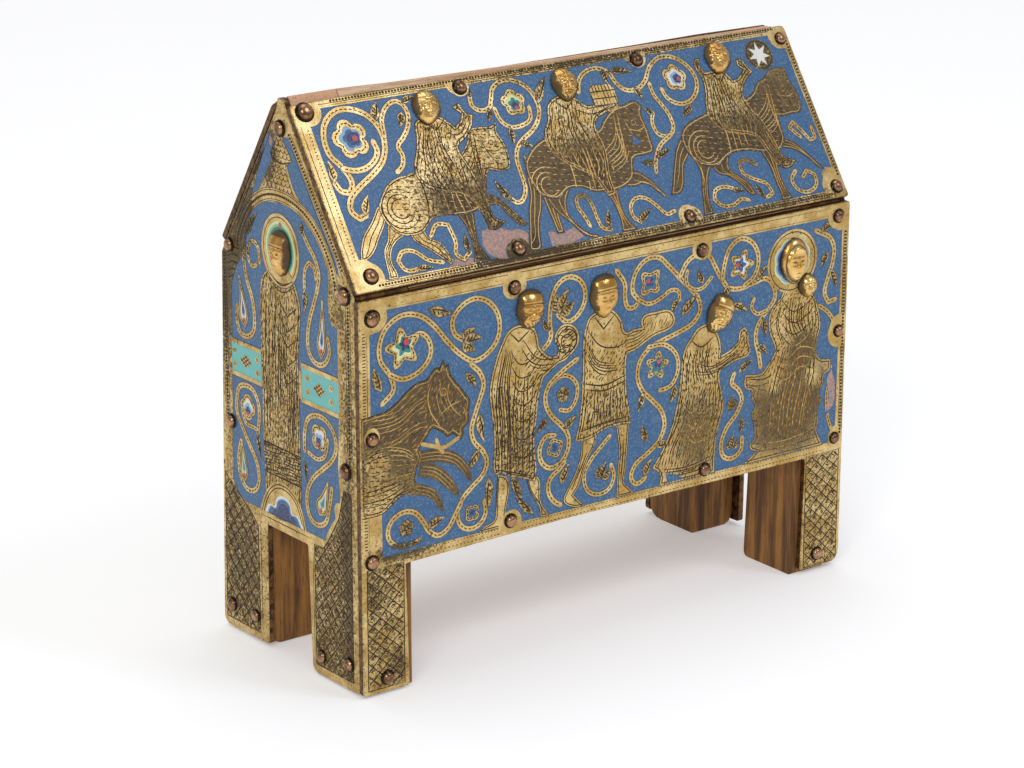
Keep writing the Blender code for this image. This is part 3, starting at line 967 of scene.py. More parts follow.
@dataclass(frozen=True)
class Gilding:
    """Fire-gilt copper: gold where kept, brown copper where rubbed; on the heads, painted reflection and
    shade.
    """

    name: str
    bright: Colour = srgb(222, 194, 134)
    gold: Colour = srgb(184, 151, 88)
    brown: Colour = srgb(106, 88, 60)
    dirt_and_shade: Colour = srgb(54, 44, 30)
    polish: float = 0.26
    age: float = 1.0

    def material(self) -> bpy.types.Material:
        """Builds the finish. "cell" carries rubbing in its alpha and a second attribute the darkening; on
        the cast heads these are a painted reflection and painted shade.
        """
        graph = Graph(self.name)
        rubbing_and_reflection = graph.carried("cell", "Alpha")
        grime = graph.carried("grime")
        cloud = graph.noise(0.16, 5)
        fine = graph.noise(1.5, 4, 0.65)
        gold = graph.mix(cloud.clipped(0.35, 0.68), self.gold, self.bright)
        # on the cast heads this rubbing is a painted orange reflection on their right side, not wear
        wear_and_reflection = (rubbing_and_reflection + (cloud - 0.5) * 0.8 + (fine - 0.5) * 0.6).clipped(0.25, 0.8)
        base = graph.mix(wear_and_reflection, gold, self.brown)
        patch = graph.noise(1.0, 6, 0.75, distortion=0.8)
        # dark specks of dirt; on the cast heads the darkening attribute turns them into painted shade
        specks_and_shade = ((patch - 0.5) * self.age + 0.5 + grime * 0.3).clipped(0.62, 0.76)
        pitted_and_shaded = graph.mix(specks_and_shade * 0.85, base, self.dirt_and_shade)
        scratch = graph.noise(0.5, 2, 0.5, (6.0, 1.0, 9.0)).clipped(0.55, 0.75)
        rough = self.polish + 0.14 * wear_and_reflection + 0.16 * fine + 0.08 * scratch + specks_and_shade * 0.3
        return graph.finish(
            Base_Color=pitted_and_shaded,
            Metallic=1.0 - 0.5 * specks_and_shade - 0.35 * wear_and_reflection,
            Roughness=rough,
            Normal=graph.bump((fine + 0.5 * scratch) * self.age + 0.8 * cloud, 0.035),
        )


@dataclass(frozen=True)
class Glass:
    """Opaque champleve enamel: the cell's colour, faintly clouded and pitted, polished flush."""

    name: str
    pit: Colour = srgb(44, 44, 62)

    def material(self) -> bpy.types.Material:
        """Builds the finish. The attribute "cell" carries the colour."""
        graph = Graph(self.name)
        cell = graph.carried("cell", "Color")
        cloud = graph.noise(0.22, 4)
        grain = graph.noise(1.6, 3, 0.7)
        grey = graph.mix((cloud - 0.1) * 0.3, cell, srgb(104, 128, 146))
        light = graph.mix(grain.clipped(0.45, 0.75) * 0.24, grey, srgb(200, 210, 216))
        pits = graph.noise(2.4, 2, 0.6).clipped(0.7, 0.78)
        return graph.finish(
            Base_Color=graph.mix(pits * 0.7, light, self.pit),
            Roughness=0.24 + 0.2 * cloud + 0.35 * pits,
            Specular_IOR_Level=0.3,
            Normal=graph.bump(grain * 0.5 + cloud - pits * 0.6, 0.03),
        )


@dataclass(frozen=True)
class Engraving:
    """Engraved lines: dark where gilding is kept, gold where the surface round them is rubbed."""

    name: str
    dark: Colour = srgb(50, 38, 26)
    gold: Colour = srgb(196, 166, 104)

    def material(self) -> bpy.types.Material:
        """Builds the finish. The attribute "cell" carries rubbing in its alpha."""
        graph = Graph(self.name)
        rubbing_and_reflection = graph.carried("cell", "Alpha")
        grain = graph.noise(1.2, 4, 0.7)
        kept = (rubbing_and_reflection + (grain - 0.5) * 1.1).clipped(0.42, 0.86)
        dark = graph.mix(grain.clipped(0.4, 0.75), self.dark, srgb(96, 74, 44))
        return graph.finish(
            Base_Color=graph.mix(kept, dark, self.gold),
            Metallic=0.35 + 0.6 * kept,
            Roughness=0.62 - 0.24 * kept,
        )


@dataclass(frozen=True)
class BareCopper:
    """Bare copper: plate edges, nail heads and the beds of lost enamel."""

    name: str
    dark: Colour
    light: Colour
    metallic: float = 0.85
    roughness: float = 0.38
    scale: float = 0.5
    crust: Colour = srgb(40, 32, 24)

    def material(self) -> bpy.types.Material:
        """Builds the finish. The attribute "grime" darkens it."""
        graph = Graph(self.name)
        cloud = graph.noise(self.scale, 5, 0.62)
        fine = graph.noise(self.scale * 5, 3, 0.6)
        grime = graph.carried("grime")
        tone = graph.mix((cloud * 0.7 + fine * 0.3).clipped(0.38, 0.62), self.dark, self.light)
        return graph.finish(
            Base_Color=graph.mix((grime + fine - 1.4).clipped(0.0, 0.4), tone, self.crust),
            Metallic=self.metallic,
            Roughness=self.roughness + 0.25 * (fine - 0.4),
            Normal=graph.bump(fine + cloud, 0.06),
        )


@dataclass(frozen=True)
class Oak:
    """Old oak with long grain, growth bands and pores along one axis."""

    name: str
    along: int  # the axis of the grain
    light: Colour = srgb(164, 114, 50)
    dark: Colour = srgb(84, 53, 20)
    pore: Colour = srgb(44, 28, 12)
    highlit_top: float | None = None  # mm, height from which the wood is painted paler: bare oak with a painted highlight

    def material(self) -> bpy.types.Material:
        """Builds the finish."""
        graph = Graph(self.name)
        stretch = [1.0, 1.0, 1.0]
        stretch[self.along] = 0.06
        slow = tuple(stretch)
        bands = graph.noise(0.32, 4, 0.6, slow, 0.4)
        streak = graph.noise(1.6, 3, 0.6, slow)
        pores = graph.noise(3.4, 2, 0.5, slow).clipped(0.6, 0.72)
        age = graph.noise(0.05, 3)
        body = graph.mix(bands.clipped(0.36, 0.64), self.dark, self.light)
        toned = graph.mix(streak.clipped(0.4, 0.7) * 0.4, body, srgb(130, 88, 40))
        aged = graph.mix(age.clipped(0.5, 0.75) * 0.4, toned, srgb(76, 48, 22))
        # the ridge's bare oak, painted paler above that height as a highlight of the strong light on its
        # top
        if self.highlit_top is not None:
            height = graph.add("ShaderNodeSeparateXYZ", None, {0: graph.coordinates()}, "Z")
            pale_highlit = graph.mix(bands, srgb(206, 152, 112), srgb(232, 186, 150))
            aged = graph.mix((height - self.highlit_top).clipped(0.0, 1.0), aged, pale_highlit)
        return graph.finish(
            Base_Color=graph.mix(pores * 0.6, aged, self.pore),
            Roughness=0.62 + 0.2 * bands,
            Normal=graph.bump(bands * 0.6 + streak * 0.5 - pores, 0.12),
        )


@dataclass(frozen=True)
class Studio:
    """Matt white studio surface with the faintest unevenness."""

    name: str
    tone: float = 0.92
    glow: float = 0.31

    def material(self) -> bpy.types.Material:
        """Builds the finish."""
        graph = Graph(self.name)
        cloud = graph.noise(0.004, 2)
        low, high = (self.tone - 0.01,) * 3, (self.tone + 0.01,) * 3
        white = graph.mix(cloud, low, high)
        return graph.finish(
            Base_Color=white, Roughness=0.9, Emission_Color=white, Emission_Strength=self.glow
        )


# ---------------------------------------------------------------------------
# Pictures


@dataclass
class Picture:
    """What the plates' pictures share: a drawing on a face of a certain outline."""

    face: PlateFace
    seed: int

    def __post_init__(self) -> None:
        """Starts the empty drawing."""
        self.d = Drawing(self.seed)
        self.pearls: list[Path] = []
        self.low, self.high = self.face.outline.min(axis=0), self.face.outline.max(axis=0)

    def draw(self) -> Drawing:
        """Draws the whole plate."""
        raise NotImplementedError

    def collars(self, *rounds: tuple[float, float, float]) -> None:
        """Reserves metal round nails, each given as (across, up, radius)."""
        for across, up, radius in rounds:
            self.d.metal(lobes((across, up), radius, 3, 0.12, 20 * across))

    def band(self, path: Points, width: float) -> None:
        """Lays a border: two engraved lines with a row of pearls between them."""
        line = smooth(path, step=1.2)
        side = normals(line)
        for share in (-0.5, 0.5):
            self.d.line(line + side * width * share, 0.24, Tip.BLUNT)
        kept = line[inside(inset(self.face.outline, PEARL_MARGIN), line)]
        if len(kept) > 1:
            self.pearls.append(kept)

    def foot(
        self,
        outline: Path,
        surface: Pair,
        rule: float = 0.4,
        margin: float = 0.5,
        pitch: float = 3.6,
        turn: float = 42,
    ) -> None:
        """Reserves the end of a foot, ruled round and filled with a lozenge lattice.

        Args:
            outline: the foot's end.
            surface: rubbing and darkening of its gilding.
            rule: width of the line round it.
            margin: distance from that line to the lattice.
            pitch: the lattice's pitch.
            turn: the lattice's slope, in degrees.
        """
        with self.d.surface(*surface):
            self.d.metal(outline)
        self.d.ring(outline, rule)
        self.lattice(inset(outline, margin), pitch, turn)

    def lattice(self, outline: Path, pitch: float, turn: float) -> None:
        """Engraves a lozenge lattice with a hatched knot in every lozenge.

        Args:
            outline: the area that it fills.
            pitch: distance between its lines.
            turn: slope of its lines, in degrees either way.
        """
        middle = outline.mean(axis=0)
        reach = float(np.abs(outline - middle).max()) * 1.5
        steps = np.arange(-reach, reach, pitch)
        with self.d.within(outline):
            for angle in (turn, -turn):
                for row in steps:
                    length = np.linspace(-reach, reach, max(6, round(reach / 2)))
                    wave = row + 0.16 * np.sin(length * 1.3 + row)
                    self.d.line(moved(np.stack([length, wave], 1), middle, turn=angle), 0.38, Tip.BLUNT)
            chance, slope = self.d.chance, math.radians(turn)
            side = 2 * pitch / math.sin(2 * slope)
            across, along = side * math.cos(slope), side * math.sin(slope)
            spots = [
                (middle[0] + (i + 0.5 * (j % 2)) * across, middle[1] + j * along / 2)
                for i in range(-round(reach / across), round(reach / across) + 1)
                for j in range(-round(2 * reach / along), round(2 * reach / along) + 1)
            ]
            for spot in (spots[k] for k in np.flatnonzero(inside(outline, np.array(spots)))):
                for k in range(3):
                    shift = (k - 1) * 0.8 + chance.uniform(-0.2, 0.2)
                    stroke = [(-0.9, shift), (chance.uniform(0, 0.4), shift + 0.2), (1.0, shift)]
                    self.d.line(moved(stroke, spot, turn=chance.uniform(-60, 60)), chance.uniform(0.3, 0.6))


@dataclass
class FrontPicture(Picture):
    """Three magi bring their gifts to the enthroned Virgin and Child; a led horse follows them."""

    def draw(self) -> Drawing:
        """Draws the whole front."""
        d = self.d
        ground = [(7.8, 45.2), (7.6, 60), (3.9, 61), (3.8, 124.8), (196.5, 124.8), (195.8, 45.2)]
        d.enamel(ground)
        self.borders()
        self.scrolls_left()
        self.scrolls_middle()
        self.scrolls_right()
        self.horse()
        with d.surface(0.05, 0.34):
            self.magus_one()
        with d.surface(0.0, 0.34):
            self.magus_two()
        with d.surface(0.1, 0.36):
            self.magus_three()
        with d.surface(0.1, 0.36):
            self.virgin()
        self.legs()
        self.collars((4.9, 123.2, 5.6), (58.9, 124.2, 4.7), (135.3, 123.6, 4.3), (195.2, 125, 5.3))
        self.collars((197, 84.5, 6), (57.3, 45.4, 4.8), (196.2, 47.2, 3.6), (4.3, 85.1, 3))
        d.enamel(smooth([(191, 55), (194.8, 58), (195.6, 66), (193.8, 72), (191.2, 70), (192.4, 62)], True))
        d.area(
            smooth([(191, 56), (194.6, 58), (195.4, 66), (193.6, 71.6), (191.6, 68), (192.6, 62)], True),
            Layer.LOSS,
        )
        d.blots = [
            Blot((24, 90), (18, 10), 0.5),
            Blot((6, 63), (10, 6), -0.8),
            Blot((6, 76), (4, 4), -0.9),
            Blot((61, 70), (9, 14), 0.42, 0.3),
            Blot((96, 75), (9, 11), 0.4, 0.25),
            Blot((134, 60), (12, 17), 0.62),
            Blot((174, 62), (19, 19), 0.95),
            Blot((181, 82), (6, 6), 0.6),
            Blot((168, 72), (3, 6), -0.7),
            Blot((184, 71), (3, 4), -0.6),
            Blot((16, 46), (10, 3), 0.3, 1.2),
            Blot((4, 34), (5, 10), 0.1, 0.25),
            Blot((14, 8), (5, 4), 0.1, 0.3),
        ]
        return d

    def borders(self) -> None:
        """Borders of the field."""
        right, top = self.high[0], self.high[1]
        self.d.curve([(12, top - 1.3), (right - 8, top - 1.3)], 0.26, 4)
        self.d.curve([(12, top - 3.9), (right - 8, top - 3.9)], 0.2, 4)
        for level, length in ((43.0, 0.7), (44.6, 0.4)):
            self.d.dashes(np.array([(8, level), (190, level)]), length, 0.8, 0.3)
        self.d.dashes(np.array([(1.7, 48.0), (1.7, 119.0)]), 0.34, 0.7, 1.2)
        self.d.curve([(2.8, 48), (2.8, 119)], 0.22, 4)
        self.band([(198, 119), (198, 48)], 1.4)

    def legs(self) -> None:
        """Lozenge lattice on the ends of both feet."""
        for low, high in ((0.0, 17.6), (181.2, self.high[0])):
            foot = np.array([(low + 1.8, 1.6), (high - 1.9, 1.6), (high - 1.9, 42), (low + 1.8, 42)])
            self.foot(foot, (0.1, 0.56), rule=HAIRLINE, pitch=3.4)

    def scrolls_left(self) -> None:
        """Scrolling stems round the horse and before the first magus."""
        d = self.d
        d.stem([
            (39, 110), (35.8, 112.5), (35, 117), (38.5, 121), (44, 122.5), (50, 119.5), (53, 113.5),
            (52, 107.5), (47.5, 103.5), (43, 102.5), (38, 105.5), (33, 110.5), (28, 116.5), (23, 120.5),
            (16, 122), (10, 119), (7.5, 114), (7.8, 109), (11, 104), (12.5, 99), (8.2, 95),
        ])
        d.stem([(11, 104), (16, 101.6), (22, 102.8), (26.3, 107), (26.3, 111.5), (23, 115), (20, 114.5)])
        d.stem([
            (42, 101.5), (45.5, 98), (46.8, 94), (45.5, 90), (43.5, 85), (42, 80), (43, 76), (46.5, 72),
            (48, 68), (46.5, 64.5), (42, 61), (38.5, 58), (36.5, 54), (37.5, 49.5), (41, 47.3), (45, 48),
            (47.5, 51.5), (47, 55.5),
        ])
        d.stem([
            (38, 57), (35.5, 53), (33, 49.5), (29, 47.8), (25.5, 50), (23, 54), (20, 57.3), (15.5, 58.3),
            (11, 56), (9.8, 52), (12, 48.4), (17, 47.2), (22, 47.8),
        ])
        d.trident((39, 109.5), 0, 7.5)
        d.fleuron(
            (16.2, 111.6), 7.0, 5, 100, (Enamel.YELLOW, Enamel.TEAL, Enamel.DEEP), (17.6, 113.4), -0.46
        )
        d.rosette((16.8, 52.8), 2.8)
        d.fleuron((42.2, 52.4), 3.0, 4, 45, (Enamel.BLUE, Enamel.DEEP))
        d.leaves(
            ((8, 99), (5.2, 107.5), 2.6), ((26, 122.3), (35, 119.5), -2.6), ((40, 99), (44, 93.5), 2.2),
            ((45, 73), (40, 67), 2.4), ((45, 85), (47, 75), -2.4), ((48.6, 63), (48.3, 52), 2.4),
            ((25, 51), (31.5, 53.5), 2.4),
        )

    def scrolls_middle(self) -> None:
        """Scrolling stems between the three magi."""
        d = self.d
        d.stem([
            (70, 101), (73, 104), (72.8, 110), (73.3, 116), (76, 121.5), (80.5, 123.2), (85.5, 120.5),
            (87, 115.5), (84.5, 110.5), (80, 108.5), (76, 111.5),
        ])
        d.trident((76.5, 112), 62, 8.5)
        d.stem([(72, 88), (78, 91), (83.2, 88), (83.8, 83), (80.8, 79), (77, 79.8)], width=1.5)
        d.stem([
            (84, 95.5), (77, 92), (72, 88), (71.2, 83.5), (73.5, 78.5), (77.5, 74.5), (80.3, 70.5),
            (80.3, 66), (77.5, 62), (73, 61), (69.5, 64), (69, 68.5), (71.5, 71.8), (75, 71.5),
        ])
        d.stem([(79, 62), (77, 60), (73, 57), (72.5, 53), (75, 49), (77.5, 47.4)])
        d.rosette((78.3, 84.6), 2.7)
        d.fleuron((75, 67.4), 3.4, 4, 20, (Enamel.BLUE, Enamel.DEEP))
        d.stem([(99.5, 122), (103, 117), (103.2, 112), (104.5, 108.8), (107.5, 108.8), (109.6, 111.5)])
        d.stem([
            (109, 110.5), (106.3, 114), (107.5, 120), (112, 123.6), (117, 123.4), (121, 120), (126, 115),
            (131, 110), (134, 106.5), (134.7, 102.5), (132, 99), (126, 96.8), (119, 95.2), (113.5, 93.5),
            (109.5, 89.5), (108.8, 84), (111, 79.5), (115, 75.5), (119, 71), (120.3, 66), (118, 61),
            (113, 57.5), (108, 54.5), (106.5, 50.5), (109, 48), (112.5, 49.5),
        ])
        d.stem([
            (109, 110.5), (113, 108.6), (119, 110), (122, 111.5), (125.5, 110.5), (125.8, 107.5)
        ], width=1.5)
        d.stem([(113, 94), (120, 93.5), (125, 89), (125.6, 83.5), (122.5, 79), (118, 78.3)], width=1.6)
        d.fleuron((113.6, 115.6), 5.2, 4, 45, (Enamel.BLUE, Enamel.DEEP), (112.8, 116.2), -0.4)
        d.fleuron((116.8, 87), 5.2, 5, 80, (Enamel.TEAL, Enamel.BLUE, Enamel.DEEP), (117.6, 88.2), -0.44)
        d.stem([
            (97.5, 67), (94, 64), (89.5, 60), (87, 55.5), (88.5, 50), (93, 47.8), (97.5, 49), (99.3, 53),
            (98, 57),
        ], width=1.5)
        d.trident((94, 53), 70, 6)
        d.leaves(
            ((71, 98), (75, 94), -2), ((72.6, 107), (70, 111), 1.8), ((71.5, 78), (67.8, 74), 2),
            ((79, 73), (84, 76.5), 2.2), ((77.5, 54.5), (81, 61), 2.4), ((127, 102), (133.5, 108), 2.6),
            ((124.8, 79), (122.5, 73), 2.2), ((111, 79), (109, 72.5), 2.0), ((113, 62), (111, 68), 2.2),
            ((112, 50), (115, 55.5), 2.4), ((125.5, 108), (122.5, 103.5), -2.0), ((117, 59), (123, 60), 2),
            ((57.5, 62), (62, 50), 2.4), ((66.4, 46.8), (59, 55), 2.0),
        )

    def scrolls_right(self) -> None:
        """Scrolling stems round the third magus and the Virgin."""
        d = self.d
        d.stem([
            (126, 115.5), (129, 120), (133.5, 121.8), (138, 120.5), (141, 116), (143.5, 112), (147, 108),
            (152, 107), (158, 108), (163, 108.5), (166.5, 105), (167, 101), (164, 97.5), (160, 93),
            (159, 88.5), (160.5, 83), (161.5, 78),
        ])
        d.stem([(164, 97.5), (159.5, 97), (157, 99.5), (158, 102.5)], width=1.4)
        d.stem([(129, 117), (128.8, 113), (131.5, 110.3), (135.5, 110), (139.5, 113)], width=1.4)
        d.stem([
            (144, 111.5), (145, 117), (147, 121.5), (151.5, 124), (157, 121.5), (159.5, 116), (158, 110.5),
            (153.5, 107.6),
        ])
        d.fleuron((152.2, 115), 5.6, 5, 70, (Enamel.WHITE, Enamel.BLUE, Enamel.DEEP), (150.6, 115), -0.44)
        d.stem([
            (184.5, 121.5), (187.5, 120), (191, 118), (193, 114), (192.5, 109), (190.5, 104), (189.3, 99),
            (191, 95.5), (194.4, 96),
        ])
        d.stem([(187, 95), (191, 92), (193.5, 88.5), (194, 83)], width=1.5)
        d.stem([
            (150, 78), (149, 75), (152, 72), (153.5, 68.5), (151.5, 64), (147, 59.5), (144.8, 54),
            (146, 49.8), (150, 48.5), (153.5, 50.5), (154, 55),
        ])
        d.stem([(192, 74), (193, 72), (191.5, 62), (192.5, 54), (194, 50)], width=1.3)
        d.trident((149.5, 52), 80, 5)
        d.rosette((149.2, 67.5), 2.3)
        d.leaves(
            ((159, 108.5), (163.8, 113), 2), ((148.5, 102), (155.5, 98.5), 2.2),
            ((162, 95), (163.4, 88), 2), ((191.5, 107), (194.6, 100), 2), ((190.5, 113), (187.5, 108), -2),
            ((187, 121), (193, 122.6), 2), ((153.6, 62), (153, 56.5), 2), ((152, 78), (158, 81.5), 2),
            ((136, 111.5), (133.8, 116.5), 2), ((160, 86), (164.5, 82), 2.0),
            ((147, 109), (143.5, 104), 2.0),
        )

    def horse(self) -> None:
        """A led horse enters from the left, its mane combed and its trappings hanging below."""
        d = self.d
        strands = (
            [(0, 66), (10, 67), (20, 65), (27, 62), (31, 55.5)],
            [(22, 71), (28, 69), (33, 64.5), (37, 59.5)],
            [(20, 75), (30, 74), (36, 71.5), (40, 67), (42, 63)],
        )
        with d.surface(0.75, 0.5):
            for strand in strands:
                path = smooth(strand)
                d.metal(ribbon(path, 4.6, Tip.LAST))
                for shift in (-1.1, 0, 1.1):
                    d.line((path + normals(path) * shift)[:-3], 0.34)
            body = d.figure([
                (0.2, 91.5), (5, 91.8), (10, 92.5), (14, 94.5), (18, 97.5), (22, 99.3), (25.5, 99.8),
                (27, 101.6), (29, 102.8), (29.8, 102.2), (31.3, 104.6), (32, 102.5), (33.2, 103),
                (33.8, 100), (35.5, 97.5), (38, 94.5), (40, 91.8), (41.3, 90), (41.2, 88), (40.6, 86),
                (41, 84), (39.8, 82), (38.6, 81.3), (38.8, 79.5), (38, 78), (36.5, 79.2), (34.8, 80.5),
                (33, 79.8), (31.5, 81.3), (29, 82.8), (27.3, 83.8), (26.2, 83.2), (24.5, 81), (22.8, 79),
                (21.8, 77.6), (22.5, 75), (21, 72), (20, 68), (21, 65.5), (14, 63.5), (8, 59.8),
                (0.2, 59.5),
            ], over=True)
            with d.within(body):
                d.folds(
                    [(3, 92), (14, 92), (22, 97), (27, 99)],
                    [(3, 80), (14, 81), (21, 84), (25, 84)],
                    9, 0.42, 0.4,
                )
                d.folds(
                    [(0, 80), (8, 82), (16, 80), (21, 76)],
                    [(0, 62), (8, 62), (14, 64), (19, 67)],
                    12, 0.4, 0.3,
                )
                d.curve([(27, 99), (25.5, 94), (26.5, 89), (29, 85), (31, 82)], 0.5)
                d.curve([(34, 98), (33, 93), (35, 88.5), (38.5, 85)], 0.4)
                d.folds([(28, 98), (28.5, 92), (31, 86)], [(33, 98), (32, 93), (35, 87)], 4, 0.32)
                d.line(arc((31.3, 94.6), 1.2, 0, 360), 0.36, Tip.BLUNT)
                d.curve([(38.8, 88.2), (39.6, 86.8), (38.8, 85.6)], 0.4)
                d.curve([(29, 86.5), (34, 89.5), (38.5, 90.5)], 0.46)
                d.hatch([(0, 96), (24, 100), (26, 76), (0, 78)], 34, 1.7, 0.42, 3.4)
                d.hatch([(0, 79), (24, 79), (22, 60), (0, 60)], -8, 1.5, 0.42, 2.0)
                d.hatch([(24, 104), (42, 104), (42, 77), (24, 77)], 66, 1.5, 0.4, 2)
        for rein in (
            [(23, 79.2), (27, 77.8), (31, 76.5), (37, 78.5)], [(28.5, 79.5), (29.5, 77), (31, 74.8)]
        ):
            d.metal(ribbon(smooth(rein), 1.3, Tip.ROUND))

    def magus_one(self) -> None:
        """The first magus stands frontally and holds out a round box."""
        d = self.d
        for leg in (
            [
                (52.3, 63), (51.8, 57), (51.6, 51), (51, 48), (47, 46.6), (45, 45.2), (55, 45.2),
                (55.2, 49), (56, 61),
            ],
            [
                (63.5, 60), (65.5, 54), (67.5, 51), (69, 48.5), (69.5, 45.2), (72.5, 45.2), (69.5, 50),
                (68, 59),
            ],
        ):
            with d.within(d.figure(leg, 0.5)):
                d.curve([leg[0], leg[1], leg[2]], 0.5)
        body = d.figure([
            (60, 110.8), (56.5, 109.5), (54, 106), (52.5, 103), (51, 99), (49.8, 95), (49.3, 90), (50, 84),
            (50.8, 78), (51, 72), (50.6, 66), (51.3, 62.8), (53, 63.5), (57, 61.5), (61, 60.2), (64, 59),
            (67, 58), (67.6, 62), (67, 67), (66.8, 72), (67.5, 78), (68.2, 84), (69.3, 89), (70.5, 92),
            (73, 93.5), (76, 95.2), (79.5, 96.2), (82, 98), (84, 100), (84.3, 104), (82, 107), (78, 107.8),
            (75.5, 106), (74.8, 103.5), (76.3, 100.5), (75.8, 98), (73, 98.2), (70.5, 100), (68.8, 102),
            (68, 105.5), (66.8, 108.5), (64.5, 109.8),
        ])
        with d.within(body):
            d.folds(
                [(54, 103), (51.6, 92), (52, 78), (52.2, 64)],
                [(59, 104), (57, 92), (58, 78), (58, 62)],
                7, 0.46,
            )
            d.folds([(59, 98), (58, 84), (59, 62)], [(68, 92), (66.6, 78), (66, 60)], 9, 0.46, 0.35)
            for v in (101, 96.5, 92, 87.5, 82, 76, 70):
                d.curve([(57.6, v + 1.5), (61, v - 3), (65, v - 2.6), (68, v + 1)], 0.44)
            d.folds([(62, 107), (67, 100), (75, 97)], [(61, 99), (67, 94), (74, 94)], 5, 0.44)
            d.curve([(57, 109), (60.5, 105.5), (65, 108.6)], 0.55)
            d.hatch([(49, 92), (58, 92), (60, 60), (49, 60)], 88, 1.15, 0.55, 2.4)
            d.hatch([(58, 92), (70, 94), (68, 58), (60, 60)], 56, 1.3, 0.55, 2.0)
            d.hatch([(50, 74), (67, 74), (68, 58), (50, 58)], 4, 2.0, 0.45, 1.6)
            d.hatch([(63, 101), (82, 101), (82, 92), (63, 92)], 34, 1.4, 0.5, 1.8)
            d.hatch(lobes((79.6, 102.2), 4.6, 1, 0.0), 24, 1.2, 0.6, 2.2)
            d.curve([(51, 65), (58, 62.6), (67, 59.4)], 0.5)
            d.line(arc((79.6, 102.2), 3.9, 0, 360), 0.42, Tip.BLUNT)
            d.line(arc((79.6, 102.2), 2.2, 0, 360), 0.36, Tip.BLUNT)
            d.curve([(76.5, 105), (79.6, 103.4), (83, 105)], 0.4)
            d.curve([(76.5, 99.2), (79.6, 100.8), (83, 99.4)], 0.4)

    def magus_two(self) -> None:
        """The second magus strides to the right and looks back, his gift in his hand."""
        d = self.d
        legs = (
            [
                (86, 68.4), (85.5, 62), (83.5, 57), (80.5, 52.5), (79, 50), (78.7, 48.5), (82.5, 45.8),
                (87, 45.2), (84.5, 47.6), (82.5, 49.8), (84.8, 52.5), (86.5, 57), (88.5, 61), (91, 65),
                (92, 68.4),
            ],
            [
                (100, 70.5), (101, 65), (101.5, 60), (101, 55), (100.8, 50), (100.5, 45.2), (107.5, 45.2),
                (105.5, 47.5), (103.5, 49.5), (104, 54), (104.5, 60), (105, 65), (105.3, 70.5),
            ],
        )
        for leg in legs:
            with d.within(d.figure(leg, 0.5)):
                d.curve([(np.array(leg[k]) + leg[-1 - k]) / 2 for k in range(1, 5)], 0.5)
        body = d.figure([
            (94, 110), (89, 108.5), (87.5, 106), (86.5, 102), (86.2, 97), (86.2, 91), (86, 85), (85.5, 79),
            (84.8, 73), (83.8, 69.8), (83.3, 67.8), (86, 67.6), (90, 68), (95, 69.5), (100, 70),
            (104, 69.8), (106, 69.4), (105.6, 73), (104.5, 78), (104, 84), (103.8, 90), (104.2, 93.5),
            (108, 94.2), (112, 96), (116, 97.5), (121, 98.3), (123.5, 99.5), (124, 102), (122, 104.8),
            (116, 105.3), (111, 104.8), (110, 103), (110.5, 101), (107, 101), (104, 100.5), (102.8, 101.5),
            (102, 104.5), (100, 107.5), (98, 109.2), (96.5, 110),
        ])
        with d.within(body):
            d.curve([(90.5, 108.5), (94.5, 103.5), (99, 107.5)], 0.55)
            d.curve([(88, 104), (93.5, 98), (100, 96.5), (104, 97.5)], 0.5)
            d.folds([(88, 100), (92, 94), (98, 91.5)], [(88, 94), (93, 88), (103, 87)], 5, 0.44)
            d.curve([(86.8, 86.5), (95, 84.6), (104, 86.4)], 0.6)
            d.curve([(86.8, 84.6), (95, 82.8), (104, 84.6)], 0.5)
            d.folds(
                [(87, 83), (86.6, 76), (85.6, 70)],
                [(103.4, 83), (103.6, 77), (104.4, 71)],
                13, 0.44, 0.45,
            )
            d.folds([(103, 99.6), (108, 99.6), (112, 101)], [(103.4, 95), (108, 95.6), (113, 98)], 4, 0.4)
            d.curve([(84.6, 70.6), (95, 71.8), (105.4, 72)], 0.5)
            d.hatch([(85, 105), (91, 103), (92, 86), (85, 86)], 84, 1.2, 0.5, 1.6)
            d.hatch([(92, 97), (105, 100), (104, 86), (92, 86)], 52, 1.4, 0.45, 1.5)
            d.hatch([(85, 85), (105, 85), (106, 67), (83, 67)], 80, 1.1, 0.5, 1.8)
            with d.within(smooth([(110.6, 99), (122.8, 99.6), (123.2, 103.4), (111, 104.2)], True)):
                d.hatch(smooth([(111, 98), (123, 99), (123, 104.6), (111, 104.6)], True), 62, 1.1, 0.34, 3)

